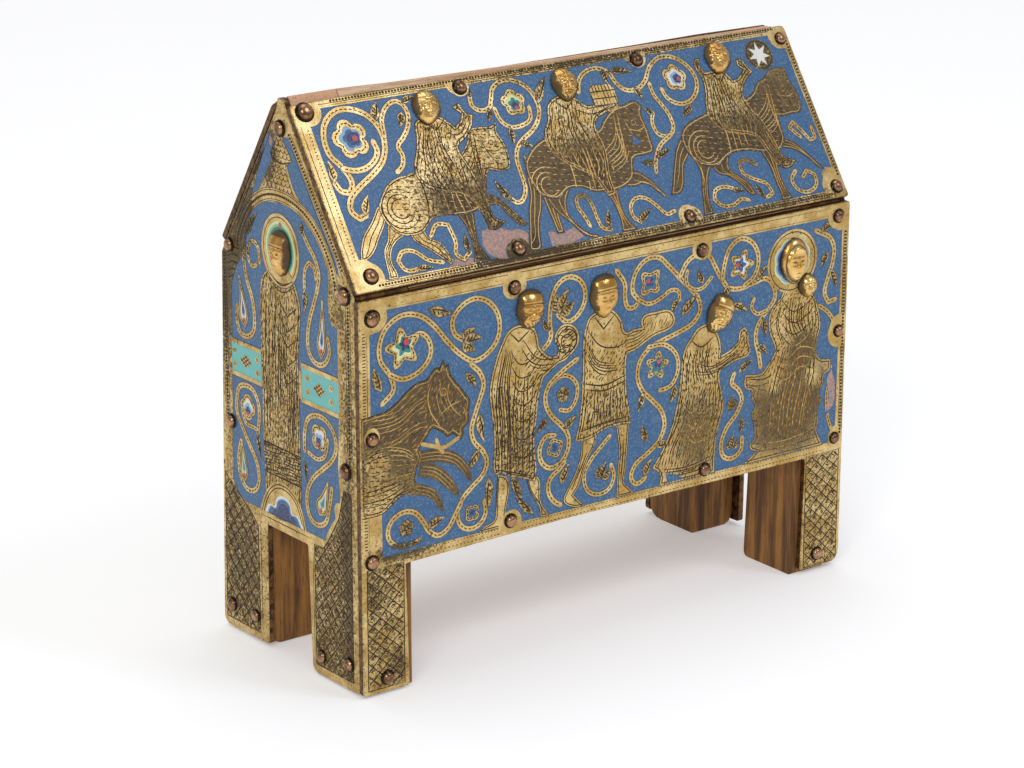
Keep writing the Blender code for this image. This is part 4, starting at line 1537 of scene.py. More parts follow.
    def magus_three(self) -> None:
        """The third magus bends his knee before the throne."""
        d = self.d
        body = d.figure([
            (134, 96.5), (131, 93.5), (128.8, 91), (127.3, 86), (126.8, 80), (126, 74), (124.5, 68),
            (122.5, 62.5), (120, 58), (117.5, 54.5), (115.5, 52), (118, 50.3), (119, 48), (118.5, 45.2),
            (142, 45.2), (142, 49.5), (142.3, 53), (142.8, 58), (144.3, 63), (145.5, 67), (145, 71),
            (144, 75), (143.8, 80), (147, 81.5), (151, 82.5), (156, 83.3), (156.8, 85.5), (156, 88),
            (155.6, 91.5), (154, 93.4), (152, 92), (151.5, 89), (149.5, 87.3), (146, 85.8), (143.8, 85.3),
            (143.8, 89), (143, 92), (141, 95), (139, 97),
        ])
        with d.within(body):
            d.curve([(131, 93), (135.5, 90), (141, 92.6)], 0.55)
            d.folds([(130, 90), (128.6, 82), (128, 76)], [(140, 91), (139, 84), (142, 78)], 8, 0.46)
            d.folds([(133, 86), (140, 83), (150, 86)], [(132, 80), (141, 79.4), (152, 84)], 4, 0.42)
            d.folds(
                [(127.6, 75), (125, 65), (119, 55), (118, 52)],
                [(144, 76), (143.6, 66), (140, 58), (140, 52)],
                14, 0.46,
            )
            for v in (72, 67, 62, 57):
                d.curve([(128, v), (134, v - 5), (141, v - 2)], 0.44)
            d.folds([(120, 51), (130, 50), (141, 52)], [(121, 46), (130, 46), (141, 46)], 5, 0.44)
            d.curve([(152.6, 84.6), (154, 86.4), (153.6, 91)], 0.34)
            d.hatch([(127, 90), (144, 88), (144, 76), (126, 76)], 100, 1.2, 0.5, 2.0)
            d.hatch([(125, 77), (146, 77), (143, 45), (115, 45)], 68, 1.15, 0.5, 2.6)
            d.hatch([(148, 93), (157, 93), (157, 84), (148, 82)], 40, 1.3, 0.5, 1.6)
        d.enamel([(121, 49), (125, 48), (129.2, 45.6), (121.8, 45.6)])

    def virgin(self) -> None:
        """The Virgin sits with the Child on a low throne."""
        d = self.d
        halo = (174.5, 112.6)
        body = d.figure([
            (172, 104.6), (170, 101), (167, 98.5), (165, 95.5), (164.8, 92), (165.5, 88.5), (167, 85.5),
            (167.8, 82.5), (166, 79.5), (163.5, 77), (162.5, 76), (155, 76.5), (154.5, 73.5), (155.5, 71.5),
            (158, 70.5), (158, 67.5), (159.5, 65), (158, 62), (159, 59), (159.5, 56), (159.3, 53),
            (157.5, 51.5), (157.8, 50), (160.5, 48.6), (158, 47), (154.5, 45.2), (190, 45.2), (188.5, 48),
            (187.3, 51), (188, 54), (187.6, 58), (189, 61), (188.3, 64.5), (189.8, 67), (190, 70),
            (192.5, 71.5), (192.8, 75), (187.5, 76.5), (186.3, 79), (186.8, 84), (187.8, 88), (187.2, 92),
            (186.2, 95), (185, 98), (178, 104.6),
        ])
        d.metal(arc(halo, 10.9, 0, 360))
        d.line(arc(halo, 9.9, 0, 360), 0.34, Tip.BLUNT)
        for k, tint in enumerate((Enamel.YELLOW, Enamel.PALE, Enamel.BLUE, Enamel.DEEP)):
            d.enamel(lobes(halo, 8.2 - 0.7 * k, 8, 0.1, 22), tint)
        with d.within(body):
            d.folds([(169, 100), (167.4, 93), (169.4, 84)], [(180, 100), (179, 92), (184, 84)], 9, 0.44)
            for v in (98, 94, 90, 86):
                d.curve([(170, v + 2), (175.5, v - 3), (182, v - 1), (185, v + 2)], 0.44)
            for v in (81, 77.6, 74):
                d.curve([(168, v), (173, v - 2.4), (179, v + 0.8), (186, v - 1)], 0.44)
            d.folds(
                [(170, 82), (166, 74), (164, 62), (163.6, 52)],
                [(186, 81), (186, 72), (183, 62), (181, 52)],
                12, 0.46,
            )
            d.curve([(156, 75), (163, 73.6), (167, 74.6)], 0.5)
            d.curve([(156, 72.6), (162, 71.6), (165, 72)], 0.5)
            d.hatch(smooth([(159.6, 70), (164, 71), (162.6, 54), (160.8, 53)], True), 70, 1.3, 0.4, 4)
            d.hatch(smooth([(183.6, 70), (189, 69), (187, 54), (182.6, 54)], True), 105, 1.3, 0.4, 4)
            d.curve([(158.5, 51.6), (172, 50), (187, 51.4)], 0.5)
            d.curve([(160, 48.4), (174, 48), (187.6, 48.4)], 0.46)
            d.hatch(smooth([(160, 50.4), (187, 50.4), (188, 48.6), (160, 48.6)], True), 90, 1.4, 0.4, 2)
            d.folds([(178, 98), (178, 91), (181, 85)], [(186, 97), (186.4, 91), (185.4, 85)], 5, 0.4)
            d.hatch([(164, 102), (188, 102), (188, 82), (165, 82)], 48, 1.5, 0.45, 1.4)
            d.hatch([(165, 83), (186, 83), (184, 50), (165, 50)], 74, 1.3, 0.45, 2.4)


@dataclass
class RoofPicture(Picture):
    """The three magi ride to Bethlehem, following a star."""

    def draw(self) -> Drawing:
        """Draws the whole roof."""
        d = self.d
        d.enamel([(4.9, 2.8), (4.9, 60.3), (197, 60.3), (197, 2.8)])
        self.borders()
        self.losses()
        self.scrolls_left()
        self.scrolls_right()
        self.curls()
        self.horse_one()
        self.horse_two()
        self.horse_three()
        self.rider_one()
        self.rider_two()
        self.rider_three()
        self.star((185, 54))
        self.collars((4.6, 60.4, 6), (5.5, 4.4, 6.3), (62.6, 61.2, 4.6), (62.9, 3.2, 4.8), (134.4, 61, 4.6))
        self.collars((132.2, 3, 4.9), (196.6, 59.6, 5.2), (196.4, 4.6, 6.3))
        d.blots = [
            Blot((101, 24), (22, 13), 0.9, 0.2),
            Blot((166, 24), (24, 13), 0.75, 0.2),
            Blot((50, 22), (14, 12), 0.6, 0.2),
            Blot((120, 62), (50, 6), 0.1, 0.5),
            Blot((150, 0), (60, 5), 0.1, 0.5),
            Blot((66, 1), (20, 5), 0.2, 0.7),
            Blot((8, 34), (16, 46), -0.4, -0.4),
            Blot((62, 6), (16, 8), 0.4, 0.3),
        ]
        return d

    def borders(self) -> None:
        """Pearled borders round the field."""
        right, top = self.high[0], self.high[1]
        self.band([(9, 1.5), (right - 6, 1.5)], 1.5)
        self.band([(9, 62.2), (right - 6, 62.2)], 1.3)
        self.d.curve([(9, 60.9), (right - 6, 60.9)], 0.24, 4)
        self.d.curve([(1.5, 5), (1.5, top - 5)], 0.3, 4)
        self.d.dashes(np.array([(3.6, 6), (3.6, top - 6)]), 0.4, 0.8, 0.5)
        self.band([(198.4, 8), (198.4, top - 6)], 1.4)

    def losses(self) -> None:
        """Cells along the lower edge whose enamel has gone."""
        spots = (
            [(52, 12.4), (57, 12.8), (62, 11), (68, 9.5), (68.6, 5), (66, 2.9), (53.6, 2.9), (50.6, 7)],
            [(76, 8), (82, 7), (88.4, 8.4), (89, 4), (84, 2.9), (75.6, 2.9)],
            [(36, 4.6), (42, 5.4), (46, 4), (45, 2.9), (36, 2.9)],
            [(191.4, 9), (194.6, 11.4), (196.8, 10.6), (196, 7.6), (192.6, 6.6)],
        )
        for spot in spots:
            self.d.area(smooth(spot, True), Layer.LOSS)

    def scrolls_left(self) -> None:
        """Scrolling stems left of the first rider and between the first two."""
        d = self.d
        d.stem([
            (6.3, 36), (7.5, 33), (10.5, 32), (12.2, 35), (11, 40), (8, 45), (8, 50.5), (10.5, 55.5),
            (15.5, 58.6), (21, 58.4), (26, 55.5), (28.8, 50.5), (28.5, 45), (25.5, 40), (20.5, 36.5),
            (14, 33), (9.5, 29.5), (8.5, 26), (10.5, 23.3), (13.2, 24.2),
        ], width=2.0)
        d.stem([(11, 40), (15, 38.6), (20.5, 39.4), (25, 43.5), (24.8, 47)], width=1.9)
        d.stem([
            (29.5, 48), (31, 54), (35, 58), (38.5, 58.5), (40.8, 55), (39.5, 50.5), (36, 46.5), (33, 44),
            (33.5, 41), (32, 37.5), (29.4, 35.8),
        ], width=1.6)
        d.fleuron((17.3, 49), 6.6, 5, 100, (Enamel.PALE, Enamel.BLUE, Enamel.DEEP), (19, 49))
        d.stem([
            (66, 57.8), (65.3, 52.8), (68.1, 50.9), (71.3, 51.5), (73, 54), (75, 57.5), (79.5, 59.6),
            (85, 58.6), (89, 54.5), (89.8, 49), (88, 45), (84, 41.5), (80, 39.5), (76.5, 37), (74.5, 33.5),
            (74, 28), (73.8, 24), (72, 20.5), (69, 19), (66.5, 21),
        ], width=1.6)
        d.stem([(73, 51), (73.8, 46.5), (76.5, 44), (81, 43.8), (85, 45.5), (86.2, 49.6)], width=1.5)
        d.fleuron((81, 51.8), 4.7, 5, 90, (Enamel.YELLOW, Enamel.TEAL, Enamel.DEEP), (81.6, 50))
        d.leaves(
            ((6.3, 36), (6.6, 43.5), -2.2), ((12.8, 24), (16.2, 30.4), 2.2),
            ((28.6, 53.5), (31, 59.6), 2.6), ((38.5, 55), (36.2, 50), 2.2), ((40, 57.8), (45.4, 59.3), 1.8),
            ((65.8, 56), (66.4, 60), 1.6), ((71, 51), (69.2, 47), 1.6), ((76, 44), (75.4, 37.8), 1.8),
            ((90, 50), (96.5, 58.8), 2.4), ((77.8, 38), (82.4, 36.2), 1.8), ((67, 20), (63.2, 27.8), 2.2),
        )

    def scrolls_right(self) -> None:
        """Scrolling stems between the second and the third rider."""
        d = self.d
        d.stem([
            (107, 51.5), (109, 55.5), (113, 58.2), (118, 58.5), (121.5, 56.5), (123, 52.5), (125.5, 49.8),
            (130, 49.3), (134.5, 51.5), (139, 56.5), (144, 58.8), (149.5, 58), (154, 54), (155.3, 49),
            (153, 44.5), (149, 42), (144.5, 42), (141, 44.5), (140, 48),
        ], width=1.6)
        d.stem([
            (136, 50.5), (136, 46.5), (138, 42), (139.3, 37.5), (138.5, 33.5), (135.5, 31.8), (132, 33),
            (131.3, 37), (133, 40.5),
        ], width=1.5)
        d.stem([(137, 32), (131, 29), (127.5, 25), (125.5, 20.4)], width=1.5)
        d.fleuron((147, 51), 4.9, 5, 80, (Enamel.WHITE, Enamel.PALE, Enamel.DEEP), (148.4, 50.4))
        d.leaves(
            ((119.5, 58), (120, 52.4), -1.8), ((122, 57), (131, 55.4), 2.0),
            ((129.5, 50), (131, 45.4), 1.8), ((128, 25), (134.6, 27.4), 1.8),
            ((126.6, 24), (121, 24.6), 1.8), ((149.5, 41), (144, 37.4), 2), ((133, 40), (130.4, 43), 1.5),
        )

    def star(self, at: Pair) -> None:
        """Sets the white star in its gilt ring."""
        with self.d.surface(0.1, 0.9):
            self.d.metal(arc(at, 5.6, 0, 360))
        for reach in (5.0, 3.6):
            self.d.line(arc(at, reach, 0, 360), 0.3, Tip.BLUNT)
        angle = np.radians(np.arange(14) * 360 / 14 + 90)
        reach = np.where(np.arange(14) % 2 == 0, 4.7, 2.1)
        self.d.enamel(
            np.array(at) + np.column_stack([np.cos(angle), np.sin(angle)]) * reach[:, None], Enamel.WHITE
        )

    def curls(self) -> None:
        """Small free curls under and before the horses."""
        d = self.d
        runs = (
            [(34, 4.8), (29, 6.5), (25, 10), (21, 10.5), (18.4, 8), (20, 4.6), (25, 4.2)],
            [(33, 13.6), (36.6, 17), (40.6, 16.2), (41, 10), (39.8, 6.4), (42, 4.4), (45, 6.4)],
            [
                (92.5, 7), (91.5, 11), (90.5, 14), (91.5, 17), (94.5, 17.5), (96, 14.5), (96.2, 9),
                (97, 5.5), (100, 4.5),
            ],
            [
                (127, 6.5), (123.5, 6), (121, 9), (117.5, 12.5), (113.5, 13), (110.5, 10.5), (110.3, 7),
                (112.5, 5),
            ],
            [
                (153.5, 10), (150, 11.2), (146, 10.5), (144.2, 7.5), (146.5, 5), (151, 4.5), (155.5, 6),
                (158, 5),
            ],
            [
                (166.5, 16.5), (163, 18.8), (160, 18.5), (159.5, 15), (163, 12), (167.5, 9.5), (168.8, 6),
                (165.6, 4.8),
            ],
            [
                (181.5, 12), (178.5, 9), (179.5, 5.5), (183.5, 4), (188, 6), (188.8, 9.5), (186, 11.3),
                (183.6, 9.4),
            ],
            [(189, 23), (185.8, 27), (188, 28.8), (190.5, 25), (192.5, 21.5), (195, 22), (195, 26)],
        )
        for run in runs:
            d.stem(run, width=1.4)
        d.leaves(
            ((24, 4.2), (30, 3.8), 1.6), ((44.6, 6), (45.6, 12.6), 1.8), ((99.6, 4.6), (101.6, 11.4), 1.8),
            ((112, 5), (118, 8.6), 2), ((153, 9.4), (158, 8.6), 1.5), ((165, 5), (162.8, 10.4), 1.6),
        )

    def beast(self, body: Points, limbs: Sequence[Points], eye: Pair) -> None:
        """Reserves a horse: its limbs, then its body with harness, muscles and hair.

        Args:
            body: outline of trunk, neck and head.
            limbs: outlines of tail and legs, each starting and ending at the body.
            eye: middle of its eye.
        """
        d = self.d
        for limb in limbs:
            outline = d.figure(limb, 0.5)
            middle = (np.array(limb) + np.array(limb[::-1])) / 2
            with d.within(outline):
                d.line(smooth(middle[: max(3, len(limb) // 2)]), 0.34)
        outline = d.figure(body, 0.6)

        def near(*spots: Pair) -> Path:
            """Points given from the eye."""
            return moved(spots, eye)

        with d.within(outline):
            d.line(arc(eye, 0.9, 0, 360), 0.3, Tip.BLUNT)
            for shift in (0.0, 1.4):
                d.curve(near((-5 - shift, 5), (-6.4 - shift, -3), (-8, -13)), 0.4)
            d.folds(near((-7, 2), (-10, -4), (-16, -8)), near((-5, -8), (-8, -13), (-14, -16)), 7)
            d.curve(near((-3.4, 2), (-2, -4), (0.4, -8)))
            d.curve(near((-3, -2), (1, -3), (4, -2)), 0.36)
            for reach in (6.6, 4.8, 3.2):
                d.line(arc(tuple(near((-41, -16))[0]), reach, 40, 300), 0.42)
            girth = near((-33, -1), (-30.5, -9), (-31, -17), (-33, -22))
            d.curve(girth, 0.5)
            flank = near((-31, -4), (-29, -12), (-31, -21)), near((-14, -4), (-14, -12), (-12, -21))
            d.folds(*flank, 7, 0.42, 0.5)
            d.hatch(outline, -12, 1.9, 0.36, 2.0, 0.2)

    def horse_one(self) -> None:
        """The first horse gallops with its head bent down."""
        limbs = (
            [
                (18, 26), (14, 21.5), (9.5, 17.5), (6.5, 12.5), (5.8, 10.2), (8, 10.3), (11.5, 12.5),
                (14.5, 16), (18.5, 20.5), (20.6, 24),
            ],
            [
                (19.6, 20), (17.5, 15), (15, 12), (14, 8), (13.5, 4), (13, 2.8), (16.5, 2.8), (16.5, 4.5),
                (16, 7.5), (17, 11), (20, 14), (25, 16),
            ],
            [
                (26, 16), (27, 13), (31, 9.5), (34, 6.5), (36.5, 3.8), (38, 4.5), (37, 8), (35.5, 11),
                (32, 13.5), (31, 17),
            ],
            [
                (45, 19.6), (46.8, 15), (47, 10), (46.5, 6), (45.5, 3.2), (51.5, 2.8), (50, 5.5), (49.2, 9),
                (50, 13), (51.8, 20.6),
            ],
            [
                (55, 20.4), (58, 20), (61.5, 19.5), (63.5, 16), (65.5, 13), (68, 11.3), (69.5, 11.8),
                (66.5, 16), (64, 20), (62, 22), (58, 24.4),
            ],
        )
        body = [
            (44, 37), (33.5, 34.5), (28, 33.8), (24, 32), (21, 29), (18.6, 25.5), (19.4, 20.4), (22, 16.6),
            (26, 15.2), (30.5, 15.5), (33, 17), (36, 19.2), (41, 19.5), (45.5, 18.8), (54, 19.5),
            (58, 22.8), (59.5, 26), (61.3, 30), (63, 31.5), (64.8, 30.8), (68, 30.2), (70.5, 30.8),
            (71.5, 33), (72, 36.5), (71.5, 40), (70.6, 43), (71.6, 46.4), (69.5, 45.3), (65, 45.6),
            (61, 45.3), (59, 42), (56, 39), (52.5, 37),
        ]
        with self.d.surface(0.25, 0.5):
            self.beast(body, limbs, (67, 40))

    def horse_two(self) -> None:
        """The second horse, its gilding rubbed brown."""
        limbs = (
            [
                (77.6, 34.6), (75.5, 26), (74.5, 21), (72, 16), (70, 11), (68, 6), (67, 3), (71, 3),
                (72.5, 7), (74.5, 12), (77, 16), (80, 26),
            ],
            [(79.5, 26), (79, 19), (79.3, 12), (79.5, 6.8), (82, 6.8), (82.3, 12), (83.5, 18), (84, 24)],
            [
                (79, 23), (82, 14), (86, 9), (89.5, 4.5), (93, 3), (94.5, 3.4), (91, 4.8), (88, 8),
                (86, 12), (87, 16.5), (91, 21.4),
            ],
            [
                (102, 19), (104.5, 14), (105, 9), (104.7, 5.5), (104, 3), (110, 3), (108, 6), (107, 10),
                (107.3, 14), (109, 19.6),
            ],
            [
                (110, 18.4), (115, 17.2), (119.5, 17.5), (122, 15.5), (125.3, 11.8), (126.3, 11),
                (124, 15.5), (121, 19.5), (117, 22),
            ],
        )
        body = [
            (101, 38), (88.5, 38.4), (84, 37), (80, 34.4), (77, 31), (76.6, 25), (79, 20), (84, 18),
            (90, 20.5), (95, 20), (99.5, 17.8), (104, 17.4), (110, 17.5), (116, 20.4), (117.5, 24),
            (119, 26.5), (124, 27), (127.5, 27.8), (128, 31), (128.3, 36), (128.2, 41), (129.6, 43.4),
            (127.6, 45.4), (123, 44.8), (118, 44), (113, 41), (109.5, 38),
        ]
        with self.d.surface(0.9, 0.35):
            self.beast(body, limbs, (124, 38.4))
            self.d.enamel([(120.4, 30.8), (124.4, 31), (122, 34.6)])

    def horse_three(self) -> None:
        """The third horse rears before the star."""
        limbs = (
            [
                (141, 31), (137, 27), (133.5, 21.5), (130.5, 16), (128.2, 12), (131.5, 12), (134, 14),
                (137.5, 21), (142, 26),
            ],
            [
                (141.5, 27), (142.3, 22), (143, 17.5), (141, 12), (139.5, 7.5), (138, 3), (142, 3),
                (142, 7), (143.5, 11.5), (145.5, 16), (150, 21),
            ],
            [
                (148, 20), (150, 16), (153.5, 14.5), (157.5, 10.5), (160, 6.8), (161.8, 6.8), (160.5, 11),
                (157, 14.5), (155, 17), (158.5, 23.4),
            ],
            [
                (170, 22), (171.8, 15), (171.8, 9), (172, 5), (171.5, 3), (176, 3), (175, 6), (174.5, 10),
                (175, 15), (177, 21),
            ],
            [
                (178, 21), (184, 19.5), (188.5, 16), (192, 11.5), (193.5, 11), (191, 14.5), (188.5, 18),
                (185.5, 21.5), (181.5, 24),
            ],
        )
        body = [
            (166, 38), (154.5, 37), (149, 35.8), (144, 34), (141, 31.2), (140.6, 26), (144, 20.6),
            (150, 18.8), (158.5, 22), (165, 22), (172, 20.4), (178, 20), (182, 23.6), (182.5, 28),
            (183, 32), (185, 31.5), (189, 31.8), (193, 32), (194.5, 35), (194.5, 40), (193.2, 44),
            (193.6, 48), (191, 48.4), (186.5, 48), (183, 45.5), (180, 44.5), (176, 41),
        ]
        with self.d.surface(0.65, 0.5):
            self.beast(body, limbs, (189.6, 41))

    def rider_one(self) -> None:
        """The first rider lifts a hand."""
        d = self.d
        with d.surface(0.05, 0.5):
            body = d.figure([
                (46, 51.6), (42.4, 50.6), (41, 46), (38.8, 41), (36.5, 37), (36, 33), (38.6, 29.4),
                (44, 27), (49, 26), (52, 24), (54.5, 17.5), (55, 12.5), (57.5, 12), (61.5, 13.8),
                (58.4, 15.6), (57.8, 20), (57.2, 27), (56, 33), (54.6, 38), (54.5, 40.5), (59, 43.5),
                (62.5, 47), (64, 50), (62, 50.8), (60.5, 54.5), (58, 53.5), (60.4, 51), (59, 48.8),
                (56, 47), (53.5, 49.8), (51, 51.6),
            ], over=True)
            with d.within(body):
                d.folds([(44, 49), (41, 41), (38, 33)], [(50, 49), (50, 40), (52, 32)], 8, 0.4)
                d.folds([(38, 35), (40, 28), (44, 23)], [(54, 38), (54, 30), (52, 24)], 9, 0.42, 0.4)
                d.folds([(52, 25), (55, 20), (56, 14)], [(57, 28), (57, 20), (58, 14)], 4, 0.34)
                d.curve([(45, 51), (49, 47), (53, 50)], 0.44)
                d.curve([(52, 46), (56, 44.4), (61, 48)], 0.4)
                d.hatch(body, 62, 1.5, 0.42, 2.2)

    def rider_two(self) -> None:
        """The second rider holds a casket before him."""
        d = self.d
        with d.surface(0.1, 0.5):
            body = d.figure([
                (97, 51), (93.5, 48.8), (91.5, 44), (88.5, 40), (88.4, 34.6), (92, 29.6), (97, 26),
                (101, 23), (104, 16), (106.6, 16.4), (106.8, 22), (108.4, 28), (109, 33), (108.4, 37),
                (109.5, 41), (114, 43.2), (120.4, 45), (120.6, 46.6), (112, 46.4), (108, 46.6), (106.6, 48),
                (104.5, 50), (101, 51.4),
            ], over=True)
            with d.within(body):
                d.folds([(95, 49), (91, 41), (89, 32)], [(104, 48), (104, 40), (106, 32)], 9, 0.4)
                d.folds([(89, 36), (90, 28), (95, 22)], [(109, 36), (109, 28), (105, 22)], 10, 0.42, 0.4)
                d.curve([(96, 50.4), (100, 46.6), (104, 49.6)], 0.44)
                d.curve([(103, 46), (109, 43.6), (118, 45.4)], 0.4)
                d.hatch(body, 66, 1.5, 0.42, 2.2)
        box = np.array([(111.5, 46.2), (111.5, 51.5), (113, 53), (120, 52.6), (121.3, 51), (121, 45.8)])
        d.reserve(box)
        with d.within(box):
            d.line(np.array([(111.5, 50.8), (121.4, 50.4)]), 0.4, Tip.BLUNT)
            d.hatch(box, 90, 1.3, 0.4, 9, 0.05)
            d.line(np.array([(111.5, 48.4), (121.4, 48)]), 0.4, Tip.BLUNT)

    def rider_three(self) -> None:
        """The third rider holds up a cup and points to the star."""
        d = self.d
        with d.surface(0.1, 0.5):
            body = d.figure([
                (163, 51), (159.8, 51), (158.6, 54.6), (159.8, 56), (158, 56), (156.8, 53), (158, 49.6),
                (157.5, 45.5), (155, 38.5), (155.4, 34.4), (159, 30.4), (165, 28.4), (170.6, 26.4),
                (173.4, 20), (176, 14.5), (179.5, 13.5), (183, 15.5), (179, 17.6), (177.4, 24), (175.6, 31),
                (172.6, 37), (172, 41.5), (176, 46.5), (179.4, 48.4), (178, 50.8), (176.5, 53.5),
                (174.8, 53.5), (174.5, 51.5), (176.4, 49.8), (172.4, 47), (170, 46.6), (169, 48.6),
                (166.5, 51),
            ], over=True)
            with d.within(body):
                d.folds([(160, 50), (158, 42), (156, 33)], [(168, 49), (169, 40), (172, 32)], 9, 0.4)
                d.folds([(156, 36), (157, 30), (160, 26)], [(172, 37), (173, 31), (171, 26)], 9, 0.42, 0.4)
                d.folds([(171, 27), (174, 21), (177, 15)], [(176, 30), (177, 22), (179, 15)], 4, 0.34)
                d.curve([(162, 50.6), (165, 46.8), (168, 49.8)], 0.44)
                d.hatch(body, 64, 0.9, 0.26, 3)


@dataclass
class GablePicture(Picture):
    """A saint stands under an arch; the other gable has the same arch without scrolls."""

    plain: bool = False

    def draw(self) -> Drawing:
        """Draws the whole gable."""
        d = self.d
        self.fields()
        self.arch()
        if self.plain:
            self.flowers()
        else:
            self.scrolls()
        self.belts()
        self.saint()
        self.borders()
        self.feet()
        if not self.plain:
            self.cloud()
        else:
            self.mirror(36.9)
        d.blots = [
            Blot((4, 124), (6, 22), 0.3, 1.0),
            Blot((14, 148), (6, 16), 0.4, 1.6),
            Blot((28, 168), (6, 10), 0.4, 1.4),
            Blot((35, 74), (12, 20), 0.15, 0.1),
            Blot((72, 100), (5, 40), 0.1, 0.3),
            Blot((72, 50), (4, 50), 0.1, 0.35),
            Blot((4, 78), (4, 40), 0.1, 0.3),
            Blot((12, 24), (16, 26), 0.15, 0.35),
        ]
        return d

    def mirror(self, axis: float) -> None:
        """Turns the picture round left to right."""
        for k, shape in enumerate(self.d.shapes):
            masks = tuple(mirrored(mask, axis) for mask in shape.masks)
            flipped = (
                mirrored(shape.outline, axis), shape.layer, shape.tint, shape.wear_and_reflection, shape.grime, masks
            )
            self.d.shapes[k] = Shape(*flipped)

    def fields(self) -> None:
        """Sinks the blue fields."""
        for ground in (
            [
                (6.4, 99), (7, 119), (10, 125), (12.5, 128), (13.5, 130), (13, 134), (14.5, 139.5),
                (20, 146), (27, 149.8), (36, 151), (43.7, 150.3), (49, 148.4), (54.5, 145), (59, 140.3),
                (62.2, 135), (63, 129.5), (62.2, 127.2), (64.5, 125), (62.2, 120.3), (64, 118.4),
                (66.8, 119.5), (66.8, 99),
            ],
            [
                (6, 90), (67, 90), (66.5, 80), (66, 73), (67, 64), (66.5, 58.5), (62, 53), (59, 48.5),
                (58.5, 46.5), (19.5, 46.5), (12, 46.5), (8, 48), (5, 52), (5.8, 80),
            ],
            [
                (30, 172.5), (33, 170.5), (31.5, 163.5), (27, 157), (25, 153.5), (20, 150.5), (22, 155),
                (26, 163), (28, 169),
            ],
            [
                (38, 172.6), (41.8, 172.6), (44.5, 168.8), (49.8, 161.5), (56, 153), (62.2, 145),
                (66.8, 138.8), (68.7, 134.2), (66.4, 135.7), (62.2, 141.8), (57.5, 146.5), (52.5, 150.3),
                (48.3, 152.6), (43.7, 157.2), (40, 164), (38, 168),
            ],
        ):
            self.d.enamel(ground)
        if not self.plain:
            self.d.area(smooth([(30.4, 168), (32.6, 168.6), (32.2, 171), (30.6, 171.4)], True), Layer.LOSS)
            self.d.area(smooth([(13, 133), (15, 134), (14.6, 142), (13, 139)], True), Layer.LOSS)

    def arch(self) -> None:
        """Arch with a pearled band, and the scaly turret over it."""
        d = self.d
        points = [
            (10.8, 131), (11.6, 135.6), (15.2, 142.2), (20.4, 148), (27.8, 152), (35.8, 153.2),
            (44.5, 152.2), (51.4, 149.6), (57, 145.6), (61.4, 140.6), (64.8, 134.6), (66, 130),
        ]
        turret = np.array([
            (34.2, 174), (35, 171), (31.2, 166), (33.2, 163.6), (30, 157), (27.4, 152), (46.8, 151),
            (41.6, 158), (39.6, 163.4), (43.4, 165.7), (38.6, 171), (38, 174),
        ], float)
        with d.surface(0.0, 0.3):
            d.reserve(turret)
            with d.within(turret):
                for row in range(12):
                    for k in range(10):
                        at = (26.4 + 2.2 * k + 1.1 * (row % 2), 152.6 + 1.75 * row)
                        d.line(arc(at, 1.15, 180, 180), 0.3, Tip.BLUNT)
                d.curve([(31, 165.8), (37, 163.8), (43.4, 165.4)], 0.5)
        path = smooth(points)
        d.strap(path, 3.9, 0.5)
        self.band(points, 2.9)
        if self.plain:
            return
        with d.surface(0.1, 0.6):
            corner = np.array([(4.4, 117), (4.4, 132), (13, 134), (13.6, 130), (10, 125), (7, 119)], float)
            d.metal(corner)
            d.metal([(61.8, 127.4), (62.6, 133), (70.4, 132), (70.4, 118), (64, 118), (62.4, 120.4)])
        with d.within(corner):
            for row in range(5):
                d.curve([(5, 120 + 2.4 * row), (8, 121.4 + 2.4 * row), (12, 120.6 + 2.6 * row)], 0.5)

    def scrolls(self) -> None:
        """Scrolls with long enamelled leaves round the saint."""
        d = self.d
        d.stem([
            (15.4, 136.6), (14.5, 128.8), (16.2, 121.8), (18.9, 116.5), (20, 111), (19.3, 105.7),
            (15.5, 103), (11.6, 103.4), (9.7, 107.2), (10, 112.2),
        ])
        d.stem([
            (23.8, 129), (22.8, 134.2), (20, 135.4), (17.2, 133), (17.2, 129.5), (19.3, 127.2), (22, 128)
        ], width=1.4)
        d.stem([
            (48.7, 144.2), (51.4, 141), (55.2, 137.2), (57.2, 132.6), (56.2, 128), (54, 122.6),
            (51.4, 116.5), (50.4, 111), (51, 106.5), (54.5, 103.8), (59, 104.5), (62.2, 108.8),
            (61.4, 113.4),
        ])
        d.stem([(55.6, 131), (54.5, 134.4), (51.8, 135.4), (49.5, 132.6), (49, 126.5)], width=1.5)
        d.stem([
            (20.3, 71), (21.5, 78), (21.2, 81.7), (18.5, 85.5), (14.3, 86.3), (10.1, 84.8), (8.4, 80.2),
            (8.5, 75.5), (11.2, 71.7), (15.1, 67), (18.9, 62.5), (20.5, 57.8), (19.3, 53.2), (15.5, 51),
            (11.6, 52), (8.9, 56.3), (8.9, 62.5), (10.5, 67),
        ])
        d.stem([(20.5, 73), (17.8, 73.2), (13.4, 73.6), (11.2, 78)], width=1.4)
        d.stem([
            (47.4, 73.2), (47.6, 79.4), (49.7, 84.4), (54.3, 86.7), (60.1, 86.3), (64.3, 82.8),
            (65.1, 78.6), (63.2, 74.8), (57.8, 70.2), (52, 65.5), (48.9, 61), (48.2, 56.3), (50.1, 51.7),
            (53.9, 50.5), (58.5, 52.5), (60.7, 57.8), (62.4, 65),
        ])
        d.stem([(49.4, 73.4), (54.7, 72.5), (58.9, 74.8), (60.5, 80.4)], width=1.4)
        d.leaves(
            ((15.2, 136), (22.8, 145), 2.6), ((48.6, 143), (48.2, 147.6), 2),
            ((49, 126.5), (48.7, 118.6), 2), ((20.4, 72.6), (21.8, 63), -1.6),
            ((47.2, 70), (48.6, 62.6), 1.4),
        )
